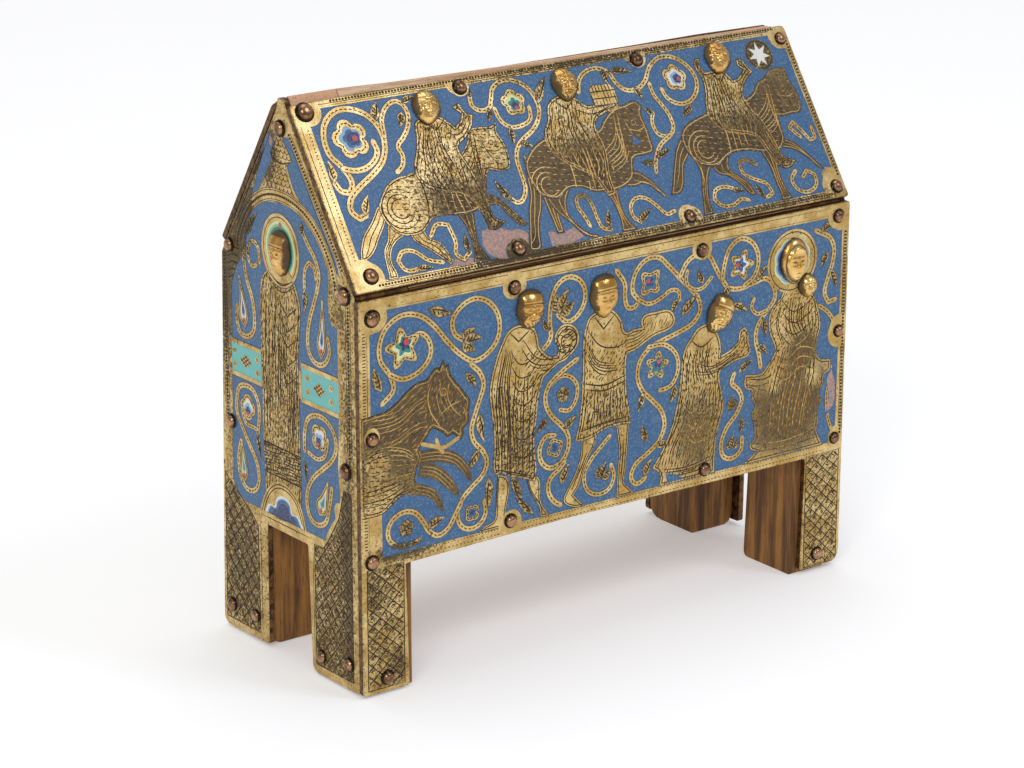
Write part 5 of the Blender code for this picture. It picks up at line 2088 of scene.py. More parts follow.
        self.flame((14.4, 105.6), (11.2, 123), 5.4, Enamel.WHITE, Enamel.DEEP)
        self.flame((57.6, 105.6), (58.8, 125.6), 5.0, Enamel.WHITE, Enamel.DEEP)
        self.flame((12, 53.2), (10.4, 68), 4.8, Enamel.YELLOW, Enamel.TEAL)
        self.flame((55.2, 54), (60.4, 67), 6.4, Enamel.YELLOW, Enamel.TEAL)
        d.fleuron((14.9, 79.2), 4.4, 4, 0, (Enamel.WHITE, Enamel.PALE, Enamel.DEEP), (14.6, 76.9))
        d.fleuron((55.8, 79.8), 4.6, 4, 45, (Enamel.WHITE, Enamel.PALE, Enamel.DEEP), (54.8, 77.4))

    def flame(self, base: Pair, tip: Pair, width: float, rim: Enamel, heart: Enamel) -> None:
        """Sets a long leaf with an enamelled heart and a red foot."""
        d = self.d
        start, end = np.asarray(base, float), np.asarray(tip, float)
        along = end - start
        side = np.array([along[1], -along[0]]) / np.hypot(*along) * width / 2
        outline = np.array([
            start, start + 0.2 * along + 0.9 * side, start + 0.45 * along + 0.75 * side, end,
            start + 0.5 * along - 0.5 * side, start + 0.22 * along - 0.95 * side,
        ])
        leaf = smooth(outline, True)
        d.reserve(leaf)
        d.area(inset(leaf, 0.35), Layer.LINE)
        d.metal(inset(leaf, 0.65))
        middle = start + 0.32 * along
        for share, tint in ((0.62, rim), (0.44, Enamel.PALE), (0.28, heart)):
            cell = (leaf - middle) * (share, share) + middle
            d.enamel(cell, tint)
        d.enamel(lobes(tuple(start + 0.14 * along), 0.8, 1, 0.0), Enamel.RED)

    def flowers(self) -> None:
        """Plain rows of small flowers for the gable that stands unseen."""
        for u in (14.6, 57.6):
            for v in (54, 64, 74, 84, 106, 116, 126):
                self.d.rosette((u, v), 3.2, 4)

    def belts(self) -> None:
        """Turquoise belts on both sides of the saint."""
        d = self.d
        for low, high, base, top in ((5.8, 23.6, 89.4, 99.2), (46.2, 67, 90.2, 100.6)):
            strip = np.array([(low, base - 1.2), (high, base - 1.2), (high, top + 1.3), (low, top + 1.3)])
            d.enamel(strip + ((0, -0.4), (0, -0.4), (0, 0.4), (0, 0.4)), Enamel.SHADE)
            d.metal(strip)
            inner = np.array([
                (low + 0.2, base + 0.2), (high, base + 0.2), (high, top - 0.2), (low + 0.2, top - 0.2)
            ])
            d.enamel(inner, Enamel.TURQUOISE)
            middle = (low + high) / 2 - 0.4, (base + top) / 2
            jewel = np.array([(-3.4, 0), (0, -2.3), (3.4, 0), (0, 2.3)]) + middle
            d.metal(jewel)
            with d.within(jewel):
                for turn in (34, -34):
                    for shift in (-1.2, 0, 1.2):
                        d.line(moved([(-4, shift), (4, shift)], middle, turn=turn), 0.34, Tip.BLUNT)
            for u in (-6.6, 6.6):
                for v in (-2.2, 2.2):
                    at = middle[0] + u, middle[1] + v
                    d.metal(arc(at, 1.15, 0, 360))
                    d.line(arc(at, 0.55, 0, 360), 0.26, Tip.BLUNT)

    def saint(self) -> None:
        """The saint in a long mantle, with an enamelled halo."""
        d = self.d
        halo = (35.8, 135.7)
        with d.surface(0.0, 0.5):
            body = d.figure([
                (28.5, 128), (25, 124.6), (23.8, 118), (23.6, 104), (23.8, 88), (23.8, 72), (24.4, 60),
                (24.8, 52), (27, 47.6), (44, 47.6), (44.8, 56), (44.9, 72), (44.8, 88), (44.6, 100),
                (45.4, 110), (46.4, 119), (44.6, 124.4), (41.6, 128),
            ], 0.9)
            with d.within(body):
                d.folds(
                    [(26, 122), (25.6, 100), (25.8, 74)],
                    [(33, 124), (31.6, 100), (31, 74)],
                    8, 0.44, 0.3,
                )
                d.folds(
                    [(33, 122), (31.6, 108), (31.4, 84)],
                    [(42, 120), (38.6, 104), (37.6, 84)],
                    8, 0.46, 0.4,
                )
                for v in (118, 113, 108, 102, 96):
                    d.curve([(34, v + 2), (39, v - 3), (45, v + 1.4)], 0.44)
                d.folds([(37, 100), (37, 86), (37, 72)], [(44, 100), (43.6, 86), (43.6, 72)], 7, 0.44)
                d.hatch(body, 78, 1.3, 0.48, 2.4, 0.3)
                hem = np.array([(23, 60.4), (46, 60.4), (46, 70.4), (23, 70.4)])
                d.line(hem[:2], 0.5, Tip.BLUNT)
                d.line(hem[2:], 0.5, Tip.BLUNT)
                d.hatch(hem, 3, 1.0, 0.44, 9, 0.2)
                d.hatch(hem, 55, 1.8, 0.34, 6)
        disc = (arc(halo, 10, 0, 360)[:-1] - halo) / 10
        for reach, layer, tint in ((12.1, Layer.ENAMEL, Enamel.SHADE), (11.8, Layer.METAL, Enamel.BLUE),
                                   (9.4, Layer.ENAMEL, Enamel.YELLOW), (8.4, Layer.ENAMEL, Enamel.GREEN),
                                   (7.6, Layer.ENAMEL, Enamel.TEAL), (6.5, Layer.ENAMEL, Enamel.DEEP)):
            ring = disc * (reach * 0.9, reach) + halo
            d.area(ring, layer, tint)
        d.line(disc * (9.4, 10.6) + halo, 0.3, Tip.BLUNT)
        d.enamel(lobes((36, 143.9), 0.9, 1, 0.0), Enamel.RED)
        with d.surface(0.0, 0.4):
            neck = smooth([
                (28.4, 128), (31, 126.6), (36, 125.6), (41, 126.6), (42.6, 128), (40, 130.4), (31, 130.4)
            ], True)
            d.metal(neck)
            d.curve([(28.6, 127.6), (36, 124.6), (43, 127.4)], 0.44)
            d.curve([(27.6, 126), (36, 122.4), (44, 125.8)], 0.44)

    def borders(self) -> None:
        """Border bands along the gable's edges."""
        edge = self.high[0] - 3.4
        self.band([(edge, 74), (edge, 128)], 2.4)
        self.band([(2.8, 74), (2.8, 128)], 2.2)
        self.band([(71.2, 135), (62, 147.6), (50, 163.4), (42, 173.6)], 1.9)
        self.band([(4.4, 135), (12, 146), (22, 158.6), (30, 172)], 1.9)
        self.d.curve([(69.4, 133.6), (60.4, 146), (42.6, 170.6)], 0.3, 3)
        self.d.curve([(6.4, 134), (14, 145), (28.4, 167.6)], 0.3, 3)
        self.collars((71.4, 75, 4), (66.8, 58, 3.4))

    def feet(self) -> None:
        """Lozenge lattice on the feet's ends, and plain strips along the cut."""
        d = self.d
        low, high = self.low[0], self.high[0]
        left = np.array([(low + 2, 3), (19.4, 3), (19.4, 40), (16, 43.4), (5, 50), (low + 3, 54)])
        right = np.array([
            (52, 3), (high - 3, 3), (high - 3, 66), (69, 66), (66, 56), (60, 47), (57, 43.6), (52, 43.6)
        ])
        for foot in (left, right):
            # the rear foot's darkening, 0.52, is partly painted shade, as that leg stands in shade
            self.foot(foot, (0.1, 0.74 if foot is right else 0.52), margin=0.4, turn=48)
        d.curve([(20.8, 2), (20.8, 43.6)], 0.34, 4)
        d.curve([(51.2, 2), (51.2, 43.6)], 0.34, 4)
        d.curve([(20.8, 44.8), (51.2, 44.8)], 0.34, 4)

    def cloud(self) -> None:
        """Enamelled cloud under the saint's feet."""
        d = self.d
        arch = smooth([
            (21, 46.4), (23, 51), (26.4, 55.6), (31, 58.4), (38, 58.4), (43, 55.6), (46, 51), (47.6, 46.4)
        ])
        d.metal(np.vstack([arch, (21, 46.4)]))
        for shift in (0.9, 2.0):
            inner = (arch - (34.4, 46)) * (1 - shift / 13, 1 - shift / 12.5) + (34.4, 46)
            d.line(inner, 0.36, Tip.BLUNT)
        cloud = smooth([
            (23.6, 46.4), (25.8, 49.6), (29, 49.6), (30.4, 52.6), (34.7, 54.4), (38.4, 53), (39.4, 50),
            (43, 49.8), (46, 46.4),
        ])
        for share, tint in (
            (1.0, Enamel.WHITE), (0.9, Enamel.PALE), (0.84, Enamel.BLUE), (0.68, Enamel.DEEP)
        ):
            d.enamel((cloud - (34.8, 46.4)) * share + (34.8, 46.4), tint)


@dataclass
class NetPicture(Picture):
    """A net of gilt bands with a four-petalled flower in every mesh, for the plates at the back."""

    ground: Points
    pitch: float = 15.0
    foot_width: float | None = None

    def draw(self) -> Drawing:
        """Draws the net."""
        d, ground = self.d, np.asarray(self.ground, float)
        low, high = ground.min(axis=0), ground.max(axis=0)
        d.enamel(ground)
        with d.within(ground):
            columns = np.arange(low[0] - high[1] + low[1], high[0], self.pitch)
            for start in columns:
                for base, rise in ((low[1], 1), (high[1], -1)):
                    ends = [(start, base), (start + high[1] - low[1], base + rise * (high[1] - low[1]))]
                    path = smooth(ends, step=3)
                    d.strap(path, 1.7, 0.4)
                    d.dashes(path, 1.2, 0.6, 0.34)
            half = self.pitch / 2
            for i, u in enumerate(np.arange(low[0], high[0] + half, half)):
                for j, v in enumerate(np.arange(low[1], high[1] + half, half)):
                    at = (float(u), float(v))
                    if (i + j) % 2 == 1 and inside(inset(ground, 3.4), np.array([at]))[0]:
                        self.flower(at)
        self.edges(low, high)
        if self.foot_width is not None:
            for left, right in (
                (self.low[0], self.low[0] + self.foot_width), (self.high[0] - self.foot_width, self.high[0])
            ):
                foot = np.array([
                    (left + 1.8, 1.8), (right - 1.8, 1.8), (right - 1.8, 40), (left + 1.8, 40)
                ])
                self.foot(foot, (0.15, 0.7))
        d.blots = [Blot((self.high[0] * 0.3, self.high[1] * 0.5), (40, 30), 0.35, 0.3)]
        return d

    def flower(self, at: Pair) -> None:
        """Sets one flower with two rings of enamel."""
        d = self.d
        d.enamel(lobes(at, 4.3, 4, 0.34, 45), Enamel.SHADE)
        d.metal(lobes(at, 4.0, 4, 0.34, 45))
        d.enamel(lobes(at, 2.9, 4, 0.34, 45), Enamel.WHITE)
        d.enamel(lobes(at, 2.2, 4, 0.34, 45), Enamel.PALE if self.seed % 2 else Enamel.GREEN)
        d.metal(lobes(at, 0.9, 4, 0.1, 0))

    def edges(self, low: Path, high: Path) -> None:
        """Borders round the net."""
        for start, end in (((low[0], low[1] - 1.6), (high[0], low[1] - 1.6)),
                           ((low[0], high[1] + 1.6), (high[0], high[1] + 1.6)),
                           ((low[0] - 1.6, low[1]), (low[0] - 1.6, high[1])),
                           ((high[0] + 1.6, low[1]), (high[0] + 1.6, high[1]))):
            self.band([start, end], 1.5)


# ---------------------------------------------------------------------------
# Nails, pearls and heads


@dataclass
class Studs:
    """Geometry Nodes that set one small shape on points, or along paths at even steps."""

    template: bpy.types.Object
    finish: bpy.types.Material
    spacing: float | None = None
    seed: int = 5
    tilt: float = 0.05

    def tree(self) -> bpy.types.NodeTree:
        """Builds the node tree with its named inputs."""
        tree = bpy.data.node_groups.new("studs", "GeometryNodeTree")
        wanted = (
            ("Points", "Geometry"),
            ("Shape", "Object"),
            ("Finish", "Material"),
            ("Spacing", "Float"),
            ("Seed", "Int"),
            ("Tilt", "Float"),
        )
        for name, kind in wanted:
            tree.interface.new_socket(name, in_out="INPUT", socket_type=f"NodeSocket{kind}")
        tree.interface.new_socket("Studs", in_out="OUTPUT", socket_type="NodeSocketGeometry")
        given = new_node(tree, "NodeGroupInput").outputs

        def add(kind: str, sockets: dict[str | int, object], **settings: object) -> bpy.types.NodeSocket:
            """Adds a node and gives its first output."""
            return new_node(tree, kind, settings, sockets).outputs[0]

        points = given["Points"]
        if self.spacing is not None:
            curve = add("GeometryNodeMeshToCurve", {"Mesh": points})
            spaced = {"Curve": curve, "Length": given["Spacing"]}
            points = add("GeometryNodeResampleCurve", spaced, mode="LENGTH")
        source = new_node(tree, "GeometryNodeObjectInfo", None, {"Object": given["Shape"]})
        shape = source.outputs["Geometry"]
        lean = add("ShaderNodeVectorMath", {0: (1.0, 1.0, 0.0), "Scale": given["Tilt"]}, operation="SCALE")
        least = add("ShaderNodeVectorMath", {0: lean, "Scale": -1.0}, operation="SCALE")
        most = add("ShaderNodeVectorMath", {0: lean, 1: (0.0, 0.0, 2 * math.pi)}, operation="ADD")
        chance = {"Min": least, "Max": most, "Seed": given["Seed"]}
        turn = add("FunctionNodeRandomValue", chance, data_type="FLOAT_VECTOR")
        size = add("GeometryNodeInputNamedAttribute", {"Name": "size"}, data_type="FLOAT")
        placed = {"Points": points, "Instance": shape, "Scale": size, "Rotation": turn}
        studs = add("GeometryNodeInstanceOnPoints", placed)
        real = add("GeometryNodeRealizeInstances", {"Geometry": studs})
        done = add("GeometryNodeSetMaterial", {"Geometry": real, "Material": given["Finish"]})
        new_node(tree, "NodeGroupOutput", None, {"Studs": done})
        return tree

    def build(
        self, name: str, paths: Sequence[Path], sizes: Sequence[float], place: Matrix
    ) -> bpy.types.Object:
        """Sets the studs.

        Args:
            name: the piece's name.
            paths: points in the face's frame, in millimetres; each path of more than one is a row.
            sizes: a size for each path, by which the shape is scaled.
            place: matrix from the face's frame to the world.

        Returns:
            The piece as a plain mesh.
        """
        spots = np.vstack(paths)
        starts = np.cumsum([0, *(len(path) for path in paths)])
        edges = [(k, k + 1) for a, b in zip(starts, starts[1:]) for k in range(a, b - 1)]
        mesh = bpy.data.meshes.new(name)
        mesh.from_pydata([(u * MM, v * MM, 0.0) for u, v in spots], edges, [])
        scale = np.repeat(sizes, [len(path) for path in paths])
        mesh.attributes.new("size", "FLOAT", "POINT").data.foreach_set("value", scale)
        carrier = shown(name, mesh)
        modifier = carrier.modifiers.new("studs", "NODES")
        modifier.node_group = self.tree()
        values = {
            "Shape": self.template,
            "Finish": self.finish,
            "Spacing": (self.spacing or 1.0) * MM,
            "Seed": self.seed,
            "Tilt": self.tilt,
        }
        for item in modifier.node_group.interface.items_tree:
            if item.in_out == "INPUT" and item.name in values:
                modifier[item.identifier] = values[item.name]
        bpy.context.view_layer.update()
        evaluated = carrier.evaluated_get(bpy.context.evaluated_depsgraph_get())
        result = bpy.data.meshes.new_from_object(evaluated)
        carrier.modifiers.remove(modifier)
        carrier.data = result
        result.transform(place)
        result.name = name
        return carrier


NAIL_PROFILE = (
    (1.0, 0.02), (0.98, 0.1), (0.8, 0.14), (0.76, 0.32), (0.66, 0.48), (0.46, 0.6), (0.22, 0.65), (0, 0.66),
)  # radius and height from the rim to the top, for a nail of radius 1
PEARL_PROFILE = ((0.46, -0.02), (0.36, 0.2), (0, 0.3))  # the same of a pearl, in millimetres
PEARL_PITCH = 1.15  # mm
CRUST, CRUSTED = 2.2, 0.77  # a stud's grime beyond this share of its radius


def lathe(name: str, profile: Sequence[Pair], around: int) -> bpy.types.Object:
    """A small turned shape for Studs, kept out of the scene.

    Args:
        name: its name.
        profile: (radius, height) points in millimetres from the rim to the top, the last on the axis.
        around: number of sides.

    Returns:
        The shape's object.
    """
    mesh = bpy.data.meshes.new(name)
    shape = bmesh.new()
    rings = []
    for radius, height in profile[:-1]:
        angles = np.linspace(0, 2 * math.pi, around, endpoint=False)
        rings.append([shape.verts.new((radius * MM * math.cos(a), radius * MM * math.sin(a), height * MM))
                      for a in angles])
    for lower, upper in zip(rings, rings[1:]):
        for k in range(around):
            shape.faces.new((lower[k], lower[(k + 1) % around], upper[(k + 1) % around], upper[k]))
    top = shape.verts.new((0, 0, profile[-1][1] * MM))
    for k in range(around):
        shape.faces.new((rings[-1][k], rings[-1][(k + 1) % around], top))
    shape.faces.new(rings[0][::-1])
    for face in shape.faces:
        face.smooth = len(face.verts) < 6
    shape.to_mesh(mesh)
    shape.free()
    reach = CRUSTED * profile[0][0] * MM
    rim = [CRUST * (math.hypot(*vert.co[:2]) > reach) for vert in mesh.vertices]
    mesh.attributes.new("grime", "FLOAT", "POINT").data.foreach_set("value", rim)
    return bpy.data.objects.new(name, mesh)


class Dress(Enum):
    """What a head wears."""

    HAIR = "hair"
    CROWN = "crown"
    VEIL = "veil"


@dataclass
class Head:
    """A cast and gilt head, modelled as relief over an oval, with painted shade and a painted reflection.
    """

    name: str
    face: PlateFace
    tilt: float
    dress: Dress
    bearded: bool = False
    swell: float = 1.08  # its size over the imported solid's
    relief: float = 4.15  # mm, overall height
    taper: float = 0.34  # how much narrower it gets towards the chin
    flare: float = 0.3  # how much wider a crown gets towards its top
    seat: float = 0.25  # mm, height of its foot over the plate
    rows: int = 64
    columns: int = 52

    def relief_at(self, x: np.ndarray, y: np.ndarray) -> tuple[np.ndarray, np.ndarray]:
        """Shapes the head's oval.

        Args:
            x: places across it, from -1 to 1.
            y: places up it, from -1 to 1.

        Returns:
            Height in millimetres and painted shade at every place.
        """

        def bell(value: np.ndarray, at: float, reach: float | np.ndarray) -> np.ndarray:
            """Bell curve, 1 where a value is the number asked for."""
            return np.exp(-(((value - at) / reach) ** 2))

        def rise(value: np.ndarray, start: float, over: float) -> np.ndarray:
            """Slope from 0 at a start to 1 where the value is past it by so much."""
            return np.clip((value - start) / over, 0, 1)

        def bump(at: Pair, reach: Pair, height: float) -> np.ndarray:
            """Soft round swelling, or hollow if its height is negative."""
            return height * bell(x, at[0], reach[0]) * bell(y, at[1], reach[1])

        def pair(at: Pair, reach: Pair, height: float) -> np.ndarray:
            """The same swelling on both sides."""
            return bump(at, reach, height) + bump((-at[0], at[1]), reach, height)

        edge = np.clip(1 - (x**2 + y**2) ** 1.25, 0, 1)
        z = (self.relief - 1.3) * edge**0.55
        # brows, sockets, eyes, lids and cheeks
        z += pair((0.3, 0.17), (0.2, 0.05), 0.28) + pair((0.3, 0.0), (0.17, 0.11), -0.52)
        z += pair((0.3, 0.0), (0.13, 0.06), 0.46) + pair((0.3, 0.0), (0.14, 0.014), -0.12)
        z += pair((0.42, -0.25), (0.18, 0.2), 0.16)
        # nose
        ridge = rise(-y, -0.2, 0.42) * (y > -0.26)
        z += (0.25 + 0.62 * ridge) * bell(x, 0, 0.07 + 0.05 * ridge) * (np.abs(y) < 0.26)
        z += pair((0.1, -0.2), (0.05, 0.05), 0.26)
        # lips, mouth and chin
        z += bump((0, -0.43), (0.22, 0.035), 0.2) + bump((0, -0.52), (0.17, 0.04), 0.2)
        z += bump((0, -0.475), (0.24, 0.016), -0.24) + bump((0, -0.72), (0.2, 0.1), 0.3)
        # hair round the face
        side = rise(np.abs(x) + 0.2 * np.clip(-y, 0, 1), 0.62, 0.1)
        over_brow = y + 0.1 * x**2
        hair = np.maximum(side * (y > -0.55), rise(over_brow, 0.4, 0.06))
        strands = 0.05 * np.sin(22 * np.arctan2(x, y + 0.2) + 4 * y) * (self.dress is Dress.HAIR)
        z += hair * (0.3 + strands) * (edge > 0.04)
        # painted shade: hair at the sides, eye sockets, mouth, under the brows and beside the nose; below,
        # the same for beard, crown and veil
        shade = 0.8 * side * (y > -0.55) + pair((0.3, 0.02), (0.17, 0.07), 0.9)
        shade += bump((0, -0.475), (0.26, 0.03), 0.8)
        shade += pair((0.3, 0.2), (0.2, 0.03), 0.4) + pair((0.13, -0.16), (0.05, 0.12), 0.4)
        if self.bearded:
            jaw = rise(0.5 * np.abs(x) - y, 0.34, 0.12) * (1 - bell(y, -0.47, 0.07))
            curls = 20 * x + 3 * np.sin(9 * y)
            z += jaw * (0.3 + 0.1 * np.sin(curls))
            shade += 0.8 * jaw * (0.6 + 0.4 * np.sin(curls + 1.6))
        if self.dress is Dress.CROWN:
            z += 0.5 * rise(over_brow, 0.36, 0.08)
            shade += 0.9 * bell(over_brow, 0.36, 0.035) + 0.5 * bell(over_brow, 0.6, 0.03)
            shade += 0.9 * rise(y, 0.76, 0.1)
        if self.dress is Dress.VEIL:
            ring = np.sqrt(x**2 + (y + 0.06) ** 2)
            z += 0.4 * bell(ring, 0.66, 0.07) - 0.3 * bell(ring, 0.8, 0.05)
            shade = shade * (ring < 0.62) + 0.7 * bell(ring, 0.8, 0.06)
        return np.maximum(z * edge**0.2, 0.35), shade

    def build(self, finish: bpy.types.Material) -> bpy.types.Object:
        """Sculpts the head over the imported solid's place and size."""
        at, size = self.face.locate(self.name, self.tilt)
        wide, tall = size[0] * self.swell, size[1] * self.swell
        s, t = np.meshgrid(np.linspace(-1, 1, self.columns), np.linspace(-1, 1, self.rows))
        x, y = s * np.sqrt(1 - t**2 / 2), t * np.sqrt(1 - s**2 / 2)
        height, shade = self.relief_at(x, y)
        width = 1 - self.taper * np.clip(-y - 0.1, 0, 1) ** 1.2
        width = width + self.flare * np.clip((y - 0.4) / 0.6, 0, 1) * (self.dress is Dress.CROWN)
        flat = np.stack([x * width * wide / 2, y * tall / 2, height], axis=-1)
        # painted shade in the hollows of the relief: the lower a spot lies than its neighbours, the darker
        inner = np.pad(height, 1, mode="edge")
        around = (inner[:-2, 1:-1] + inner[2:, 1:-1] + inner[1:-1, :-2] + inner[1:-1, 2:]) / 4
        hollow = np.clip((around - height) * 18, -0.6, 1.6)
        grid = np.arange(self.rows * self.columns).reshape(self.rows, self.columns)
        ring = [*grid[0], *grid[1:, -1], *grid[-1, -2::-1], *grid[-2:0:-1, 0]]
        points = flat.reshape(-1, 3)
        foot = points[ring] * (1, 1, 0) + (0, 0, 0.02)
        base = len(points)
        faces = [
            (grid[i, j], grid[i, j + 1], grid[i + 1, j + 1], grid[i + 1, j])
            for i in range(self.rows - 1)
            for j in range(self.columns - 1)
        ]
        count = len(ring)
        faces += [(base + k, base + (k + 1) % count, ring[(k + 1) % count], ring[k]) for k in range(count)]
        faces.append(tuple(base + k for k in range(count))[::-1])
        mesh = bpy.data.meshes.new(f"{self.name}_cast")
        corners = [[int(k) for k in face] for face in faces]
        mesh.from_pydata((np.vstack([points, foot]) * MM).tolist(), [], corners)
        # painted shade round the head's edge, and below on its foot where it meets the plate
        rim = np.clip((np.hypot(x, y) - 0.8) / 0.16, 0, 1)
        tone = np.concatenate([(0.4 * hollow + 0.8 * rim + shade).ravel(), np.full(count, 1.6)])
        cell = np.tile((0.0, 0.0, 0.0, 0.1), (len(tone), 1))
        # painted orange reflection on the head's right side, carried in the alpha that elsewhere means
        # rubbing
        cell[:base, 3] = (0.1 + 0.5 * np.clip(x + 0.1, 0, 1)).ravel()
        mesh.attributes.new("grime", "FLOAT", "POINT").data.foreach_set("value", tone)
        mesh.attributes.new("cell", "FLOAT_COLOR", "POINT").data.foreach_set("color", cell.ravel())
        mesh.materials.append(finish)
        mesh.polygons.foreach_set("use_smooth", [len(face) == 4 for face in faces])
        mesh.transform(self.face.matrix(at, self.seat, self.tilt))
        return shown(mesh.name, mesh)


# ---------------------------------------------------------------------------
# The stage


@dataclass(frozen=True)
class StageSet:
    """Floor, lights and camera, in metres and degrees."""

    camera_place: tuple[float, float, float] = (-0.6485, -0.8456, 0.4150)
    azimuth: float = 36.948  # the camera's heading, from Y towards X
    elevation: float = 17.706  # how far it looks down
    lens: float = 118.482  # mm
    reach: float = 12.0  # how far the floor lies flat
    bend: float = 3.0  # radius of its turn into the backdrop
    rise: float = 4.0  # height of the backdrop above the turn
    aim: tuple[float, float, float] = (0.0, 0.0, 0.09)  # what the lights face
    surround: float = 0.42  # strength of the light from all round

    def floor(self) -> bpy.types.Object:
        """Lays a wide pale floor that turns up into a backdrop far behind."""
        mesh = bpy.data.meshes.new("floor")
        half, radius = self.reach, self.bend
        angle = np.radians(np.arange(0, 91, 10))
        bend = [(half + radius * math.sin(a), radius * (1 - math.cos(a))) for a in angle]
        profile = [(-half, 0.0), (0.0, 0.0), *bend, (half + radius, radius + self.rise)]
        verts = [(x, y, z) for y, z in profile for x in (-2 * half, 2 * half)]
        faces = [(2 * k, 2 * k + 1, 2 * k + 3, 2 * k + 2) for k in range(len(profile) - 1)]
        mesh.from_pydata(verts, [], faces)
        mesh.materials.append(Studio("studio_white").material())
        mesh.polygons.foreach_set("use_smooth", [True] * len(faces))
        mesh.transform(Matrix.Rotation(-math.radians(self.azimuth), 4, "Z"))
        return shown("floor", mesh)

    def light(
        self, name: str, place: Sequence[float], size: float, power: float, tone: Colour = (1.0, 1.0, 1.0)
    ) -> None:
        """Hangs one soft square light that faces the casket."""
        lamp = bpy.data.lights.new(name, "AREA")
        lamp.size = size
        lamp.energy = power
        lamp.color = tone
        holder = shown(name, lamp)
        holder.location = place
        aim = Vector(self.aim) - Vector(place)
        holder.rotation_euler = aim.to_track_quat("-Z", "Y").to_euler()

    def lights(self) -> None:
        """Hangs the lights and sets a pale surround."""
        self.light("key", (-1.9, -1.7, 1.9), size=1.1, power=26)
        self.light("roof_sheen", (1.1, -1.64, 2.0), size=0.8, power=11, tone=(0.9, 0.96, 1.2))
        self.light("gable_fill", (-2.4, 0.9, 1.0), size=1.4, power=1)
        self.light("top", (0.2, 0.6, 2.6), size=1.8, power=14)
        world = bpy.data.worlds.new("surround")
        world.use_nodes = True
        background = world.node_tree.nodes["Background"].inputs
        background["Color"].default_value = (1, 1, 1, 1)
        background["Strength"].default_value = self.surround
        bpy.context.scene.world = world
        bpy.context.scene.view_settings.view_transform = "Standard"

    def camera(self) -> None:
        """Sets the camera."""
        data = bpy.data.cameras.new("camera")
        data.lens = self.lens
        data.sensor_width = 36
        data.clip_end = 60
        camera = shown("camera", data)
        turn, dip = math.radians(self.azimuth), math.radians(self.elevation)
        ahead = Vector((math.sin(turn) * math.cos(dip), math.cos(turn) * math.cos(dip), -math.sin(dip)))
        camera.location = self.camera_place
        camera.rotation_euler = ahead.to_track_quat("-Z", "Y").to_euler()
        bpy.context.scene.camera = camera


def hand_over(piece: bpy.types.Object, slot: str, *nodes: str) -> None:
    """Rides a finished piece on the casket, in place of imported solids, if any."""
    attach(piece, BODY)
    if nodes:
        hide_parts(*nodes)
    log.info("%s: %d faces", piece.name, len(piece.data.polygons))


@dataclass(frozen=True)
class Faces:
    """The outer faces of the six plates."""

    front: PlateFace
    roof: PlateFace
    left: PlateFace
    right: PlateFace
    back: PlateFace
    roof_back: PlateFace

    @classmethod
    def read(cls) -> "Faces":
        """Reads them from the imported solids."""
        east, north, up = Vector((1, 0, 0)), Vector((0, 1, 0)), Vector((0, 0, 1))
        west, south = -east, -north
        roof_out = south * math.sin(ROOF_SLOPE) + up * math.cos(ROOF_SLOPE)
        return cls(
            PlateFace.of("plate_front", east, south, (0.0, 0.1)),
            PlateFace.of("plate_roof_front", east, roof_out),
            PlateFace.of("plate_gable_left", south, west, (-2.74, -0.16)),
            PlateFace.of("plate_gable_right", north, east, (-2.6, 0.3)),
            PlateFace.of("plate_back", west, north, (0.0, 0.1)),
            PlateFace.of("plate_roof_back", west, north * 0.84 + up * 0.54),
        )

    def pictures(self) -> dict[str, Picture]:
        """The plates' pictures by name, in the order they are made."""
        wall = [(5, 46.5), (5, 123), (190, 123), (190, 46.5)]
        slope = [(5, 4.6), (5, 53), (195, 53), (195, 4.6)]
        return {
            "front": FrontPicture(self.front, 11),
            "roof": RoofPicture(self.roof, 12),
            "gable_left": GablePicture(self.left, 13),
            "gable_right": GablePicture(self.right, 14, plain=True),
            "back": NetPicture(self.back, 15, wall, pitch=19.1, foot_width=17.0),
            "roof_back": NetPicture(self.roof_back, 16, slope, pitch=16.1),
        }


@dataclass(frozen=True)
class Nails:
    """Domed copper nails of a plate, over packed ones or mirrored from the plate opposite."""

    name: str
    face: PlateFace
    prefix: str
    twin: PlateFace | None = None
    lowest: float = -math.inf
    seat: float = 0.05

    def places(self, nodes: Sequence[str]) -> list[tuple[Pair, float]]:
        """Middle and radius of every nail on the face, in millimetres."""
        source = self.twin or self.face
        found = [source.locate(node) for node in nodes]
        if self.twin is None:
            return [(at, size[0] / 2) for at, size in found]
        low, high = self.face.outline.min(axis=0), self.face.outline.max(axis=0)
        near, far = self.twin.outline.min(axis=0), self.twin.outline.max(axis=0)
        places = []
        for at, size in found:
            if at[1] > self.lowest:
                share = ((far[0] - at[0]) / (far[0] - near[0]), (at[1] - near[1]) / (far[1] - near[1]))
                places.append((tuple(low + (high - low) * share), size[0] / 2))
        return places

    def build(self, packed: Sequence[str], shape: bpy.types.Object, finish: bpy.types.Material) -> None:
        """Sets the nails and hands them over.

        Args:
            packed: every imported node.
            shape: one nail.
            finish: its copper.
        """
        nodes = sorted(node for node in packed if node.startswith(self.prefix))
        places = self.places(nodes)
        spots = [np.array([at]) for at, _ in places]
        studs = Studs(shape, finish, seed=3 if self.twin is None else 5, tilt=0.06)
        matrix = self.face.matrix((0, 0), self.seat)
        nails = studs.build(f"{self.name}_nails", spots, [radius for _, radius in places], matrix)
        hand_over(nails, "nail_copper", *(nodes if self.twin is None else ()))


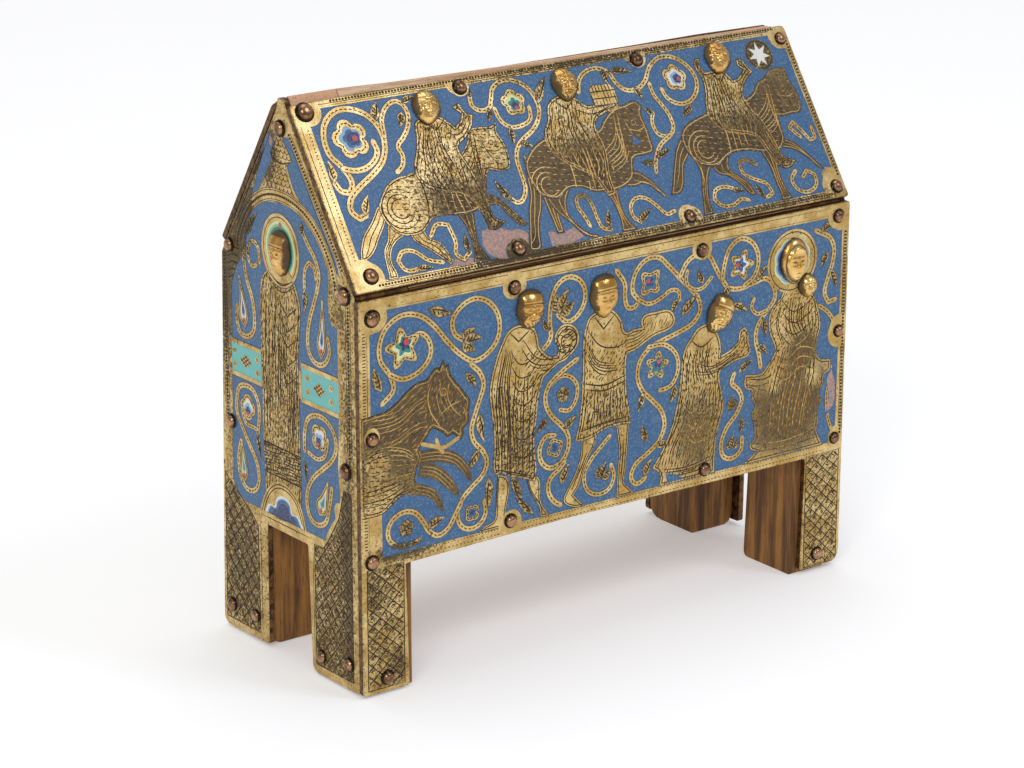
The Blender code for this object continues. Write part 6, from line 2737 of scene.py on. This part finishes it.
def main() -> None:
    """Builds the casket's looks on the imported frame."""
    logging.basicConfig(level=logging.INFO, format="%(message)s")
    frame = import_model()
    metal = Gilding("gilding").material()
    beds = BareCopper(
        "lost_cells", srgb(118, 130, 134), srgb(206, 148, 128), metallic=0.0, roughness=0.75, scale=1.3
    )
    edges = BareCopper("plate_edges", srgb(52, 38, 28), srgb(132, 98, 62), metallic=0.8, roughness=0.45)
    looks = [
        metal,
        Glass("enamel").material(),
        Engraving("engraving").material(),
        beds.material(),
        edges.material(),
    ]
    faces = Faces.read()
    pictures = faces.pictures()
    nail = lathe("nail", NAIL_PROFILE, around=20)
    pearl = lathe("pearl", PEARL_PROFILE, around=7)
    domes = BareCopper(
        "nail_copper", srgb(96, 70, 50), srgb(186, 142, 106), metallic=0.9, roughness=0.2, scale=0.2
    )
    copper = domes.material()
    for name, picture in pictures.items():
        plate = ReliefPlate(f"{name}_relief", picture.face, picture.draw()).build(looks)
        hand_over(plate, "enamelled_copper", picture.face.node)
        sizes = [1.0] * len(picture.pearls)
        studs = Studs(pearl, metal, PEARL_PITCH, picture.seed)
        rows = studs.build(f"{name}_pearls", picture.pearls, sizes, picture.face.matrix((0, 0)))
        hand_over(rows, "enamelled_copper")
    for nails in (
        Nails("front", faces.front, "nail_front"),
        Nails("roof", faces.roof, "nail_roof"),
        Nails("gable_left", faces.left, "nail_gable"),
        Nails("back", faces.back, "nail_back"),
        Nails("gable_right", faces.right, "nail_gable", twin=faces.left),
        Nails("back_field", faces.back, "nail_front", twin=faces.front, lowest=FOOT_TOP),
        Nails("roof_back", faces.roof_back, "nail_roof", twin=faces.roof),
    ):
        nails.build(list(frame["nodes"]), nail, copper)
    # for the heads: the brown here is a painted orange reflection, and the darkest colour is painted shade
    casting = Gilding(
        "cast_gilding",
        bright=srgb(244, 208, 134),
        gold=srgb(206, 156, 82),
        brown=srgb(150, 92, 50),
        dirt_and_shade=srgb(46, 36, 22),
        polish=0.14,
        age=0.6,
    )
    cast = casting.material()
    for head in (
        Head("head_rider_1", faces.roof, -16, Dress.HAIR),
        Head("head_rider_2", faces.roof, -8, Dress.HAIR, bearded=True),
        Head("head_rider_3", faces.roof, -20, Dress.HAIR),
        Head("head_magus_1", faces.front, -4, Dress.CROWN, bearded=True),
        Head("head_magus_2", faces.front, 2, Dress.CROWN),
        Head("head_magus_3", faces.front, -30, Dress.CROWN, bearded=True),
        Head("head_virgin", faces.front, 0, Dress.VEIL),
        Head("head_child", faces.front, 0, Dress.HAIR),
        Head("head_saint_left", faces.left, 0, Dress.CROWN),
        Head("head_saint_right", faces.right, 0, Dress.HAIR),
    ):
        hand_over(head.build(cast), "gilt_copper", head.name)
    lengthwise = Oak("oak_lengthwise", along=0).material()
    # end boards painted paler from 181.5 mm up, and roof boards pale throughout: bare oak at the ridge with
    # a painted highlight
    upright = Oak("oak_upright", along=2, highlit_top=181.5).material()
    highlit_top = Oak(
        "oak_planed", along=0, light=srgb(240, 204, 166), dark=srgb(216, 170, 128), pore=srgb(150, 104, 70)
    )
    pale_highlit = highlit_top.material()
    for node, board in frame["nodes"].items():
        if node.startswith("oak"):
            wood = pale_highlit if "roof" in node else upright if "end" in node else lengthwise
            board.data.materials.clear()
            board.data.materials.append(wood)
    stage = StageSet()
    stage.floor()
    stage.lights()
    stage.camera()


if __name__ == "__main__":
    main()
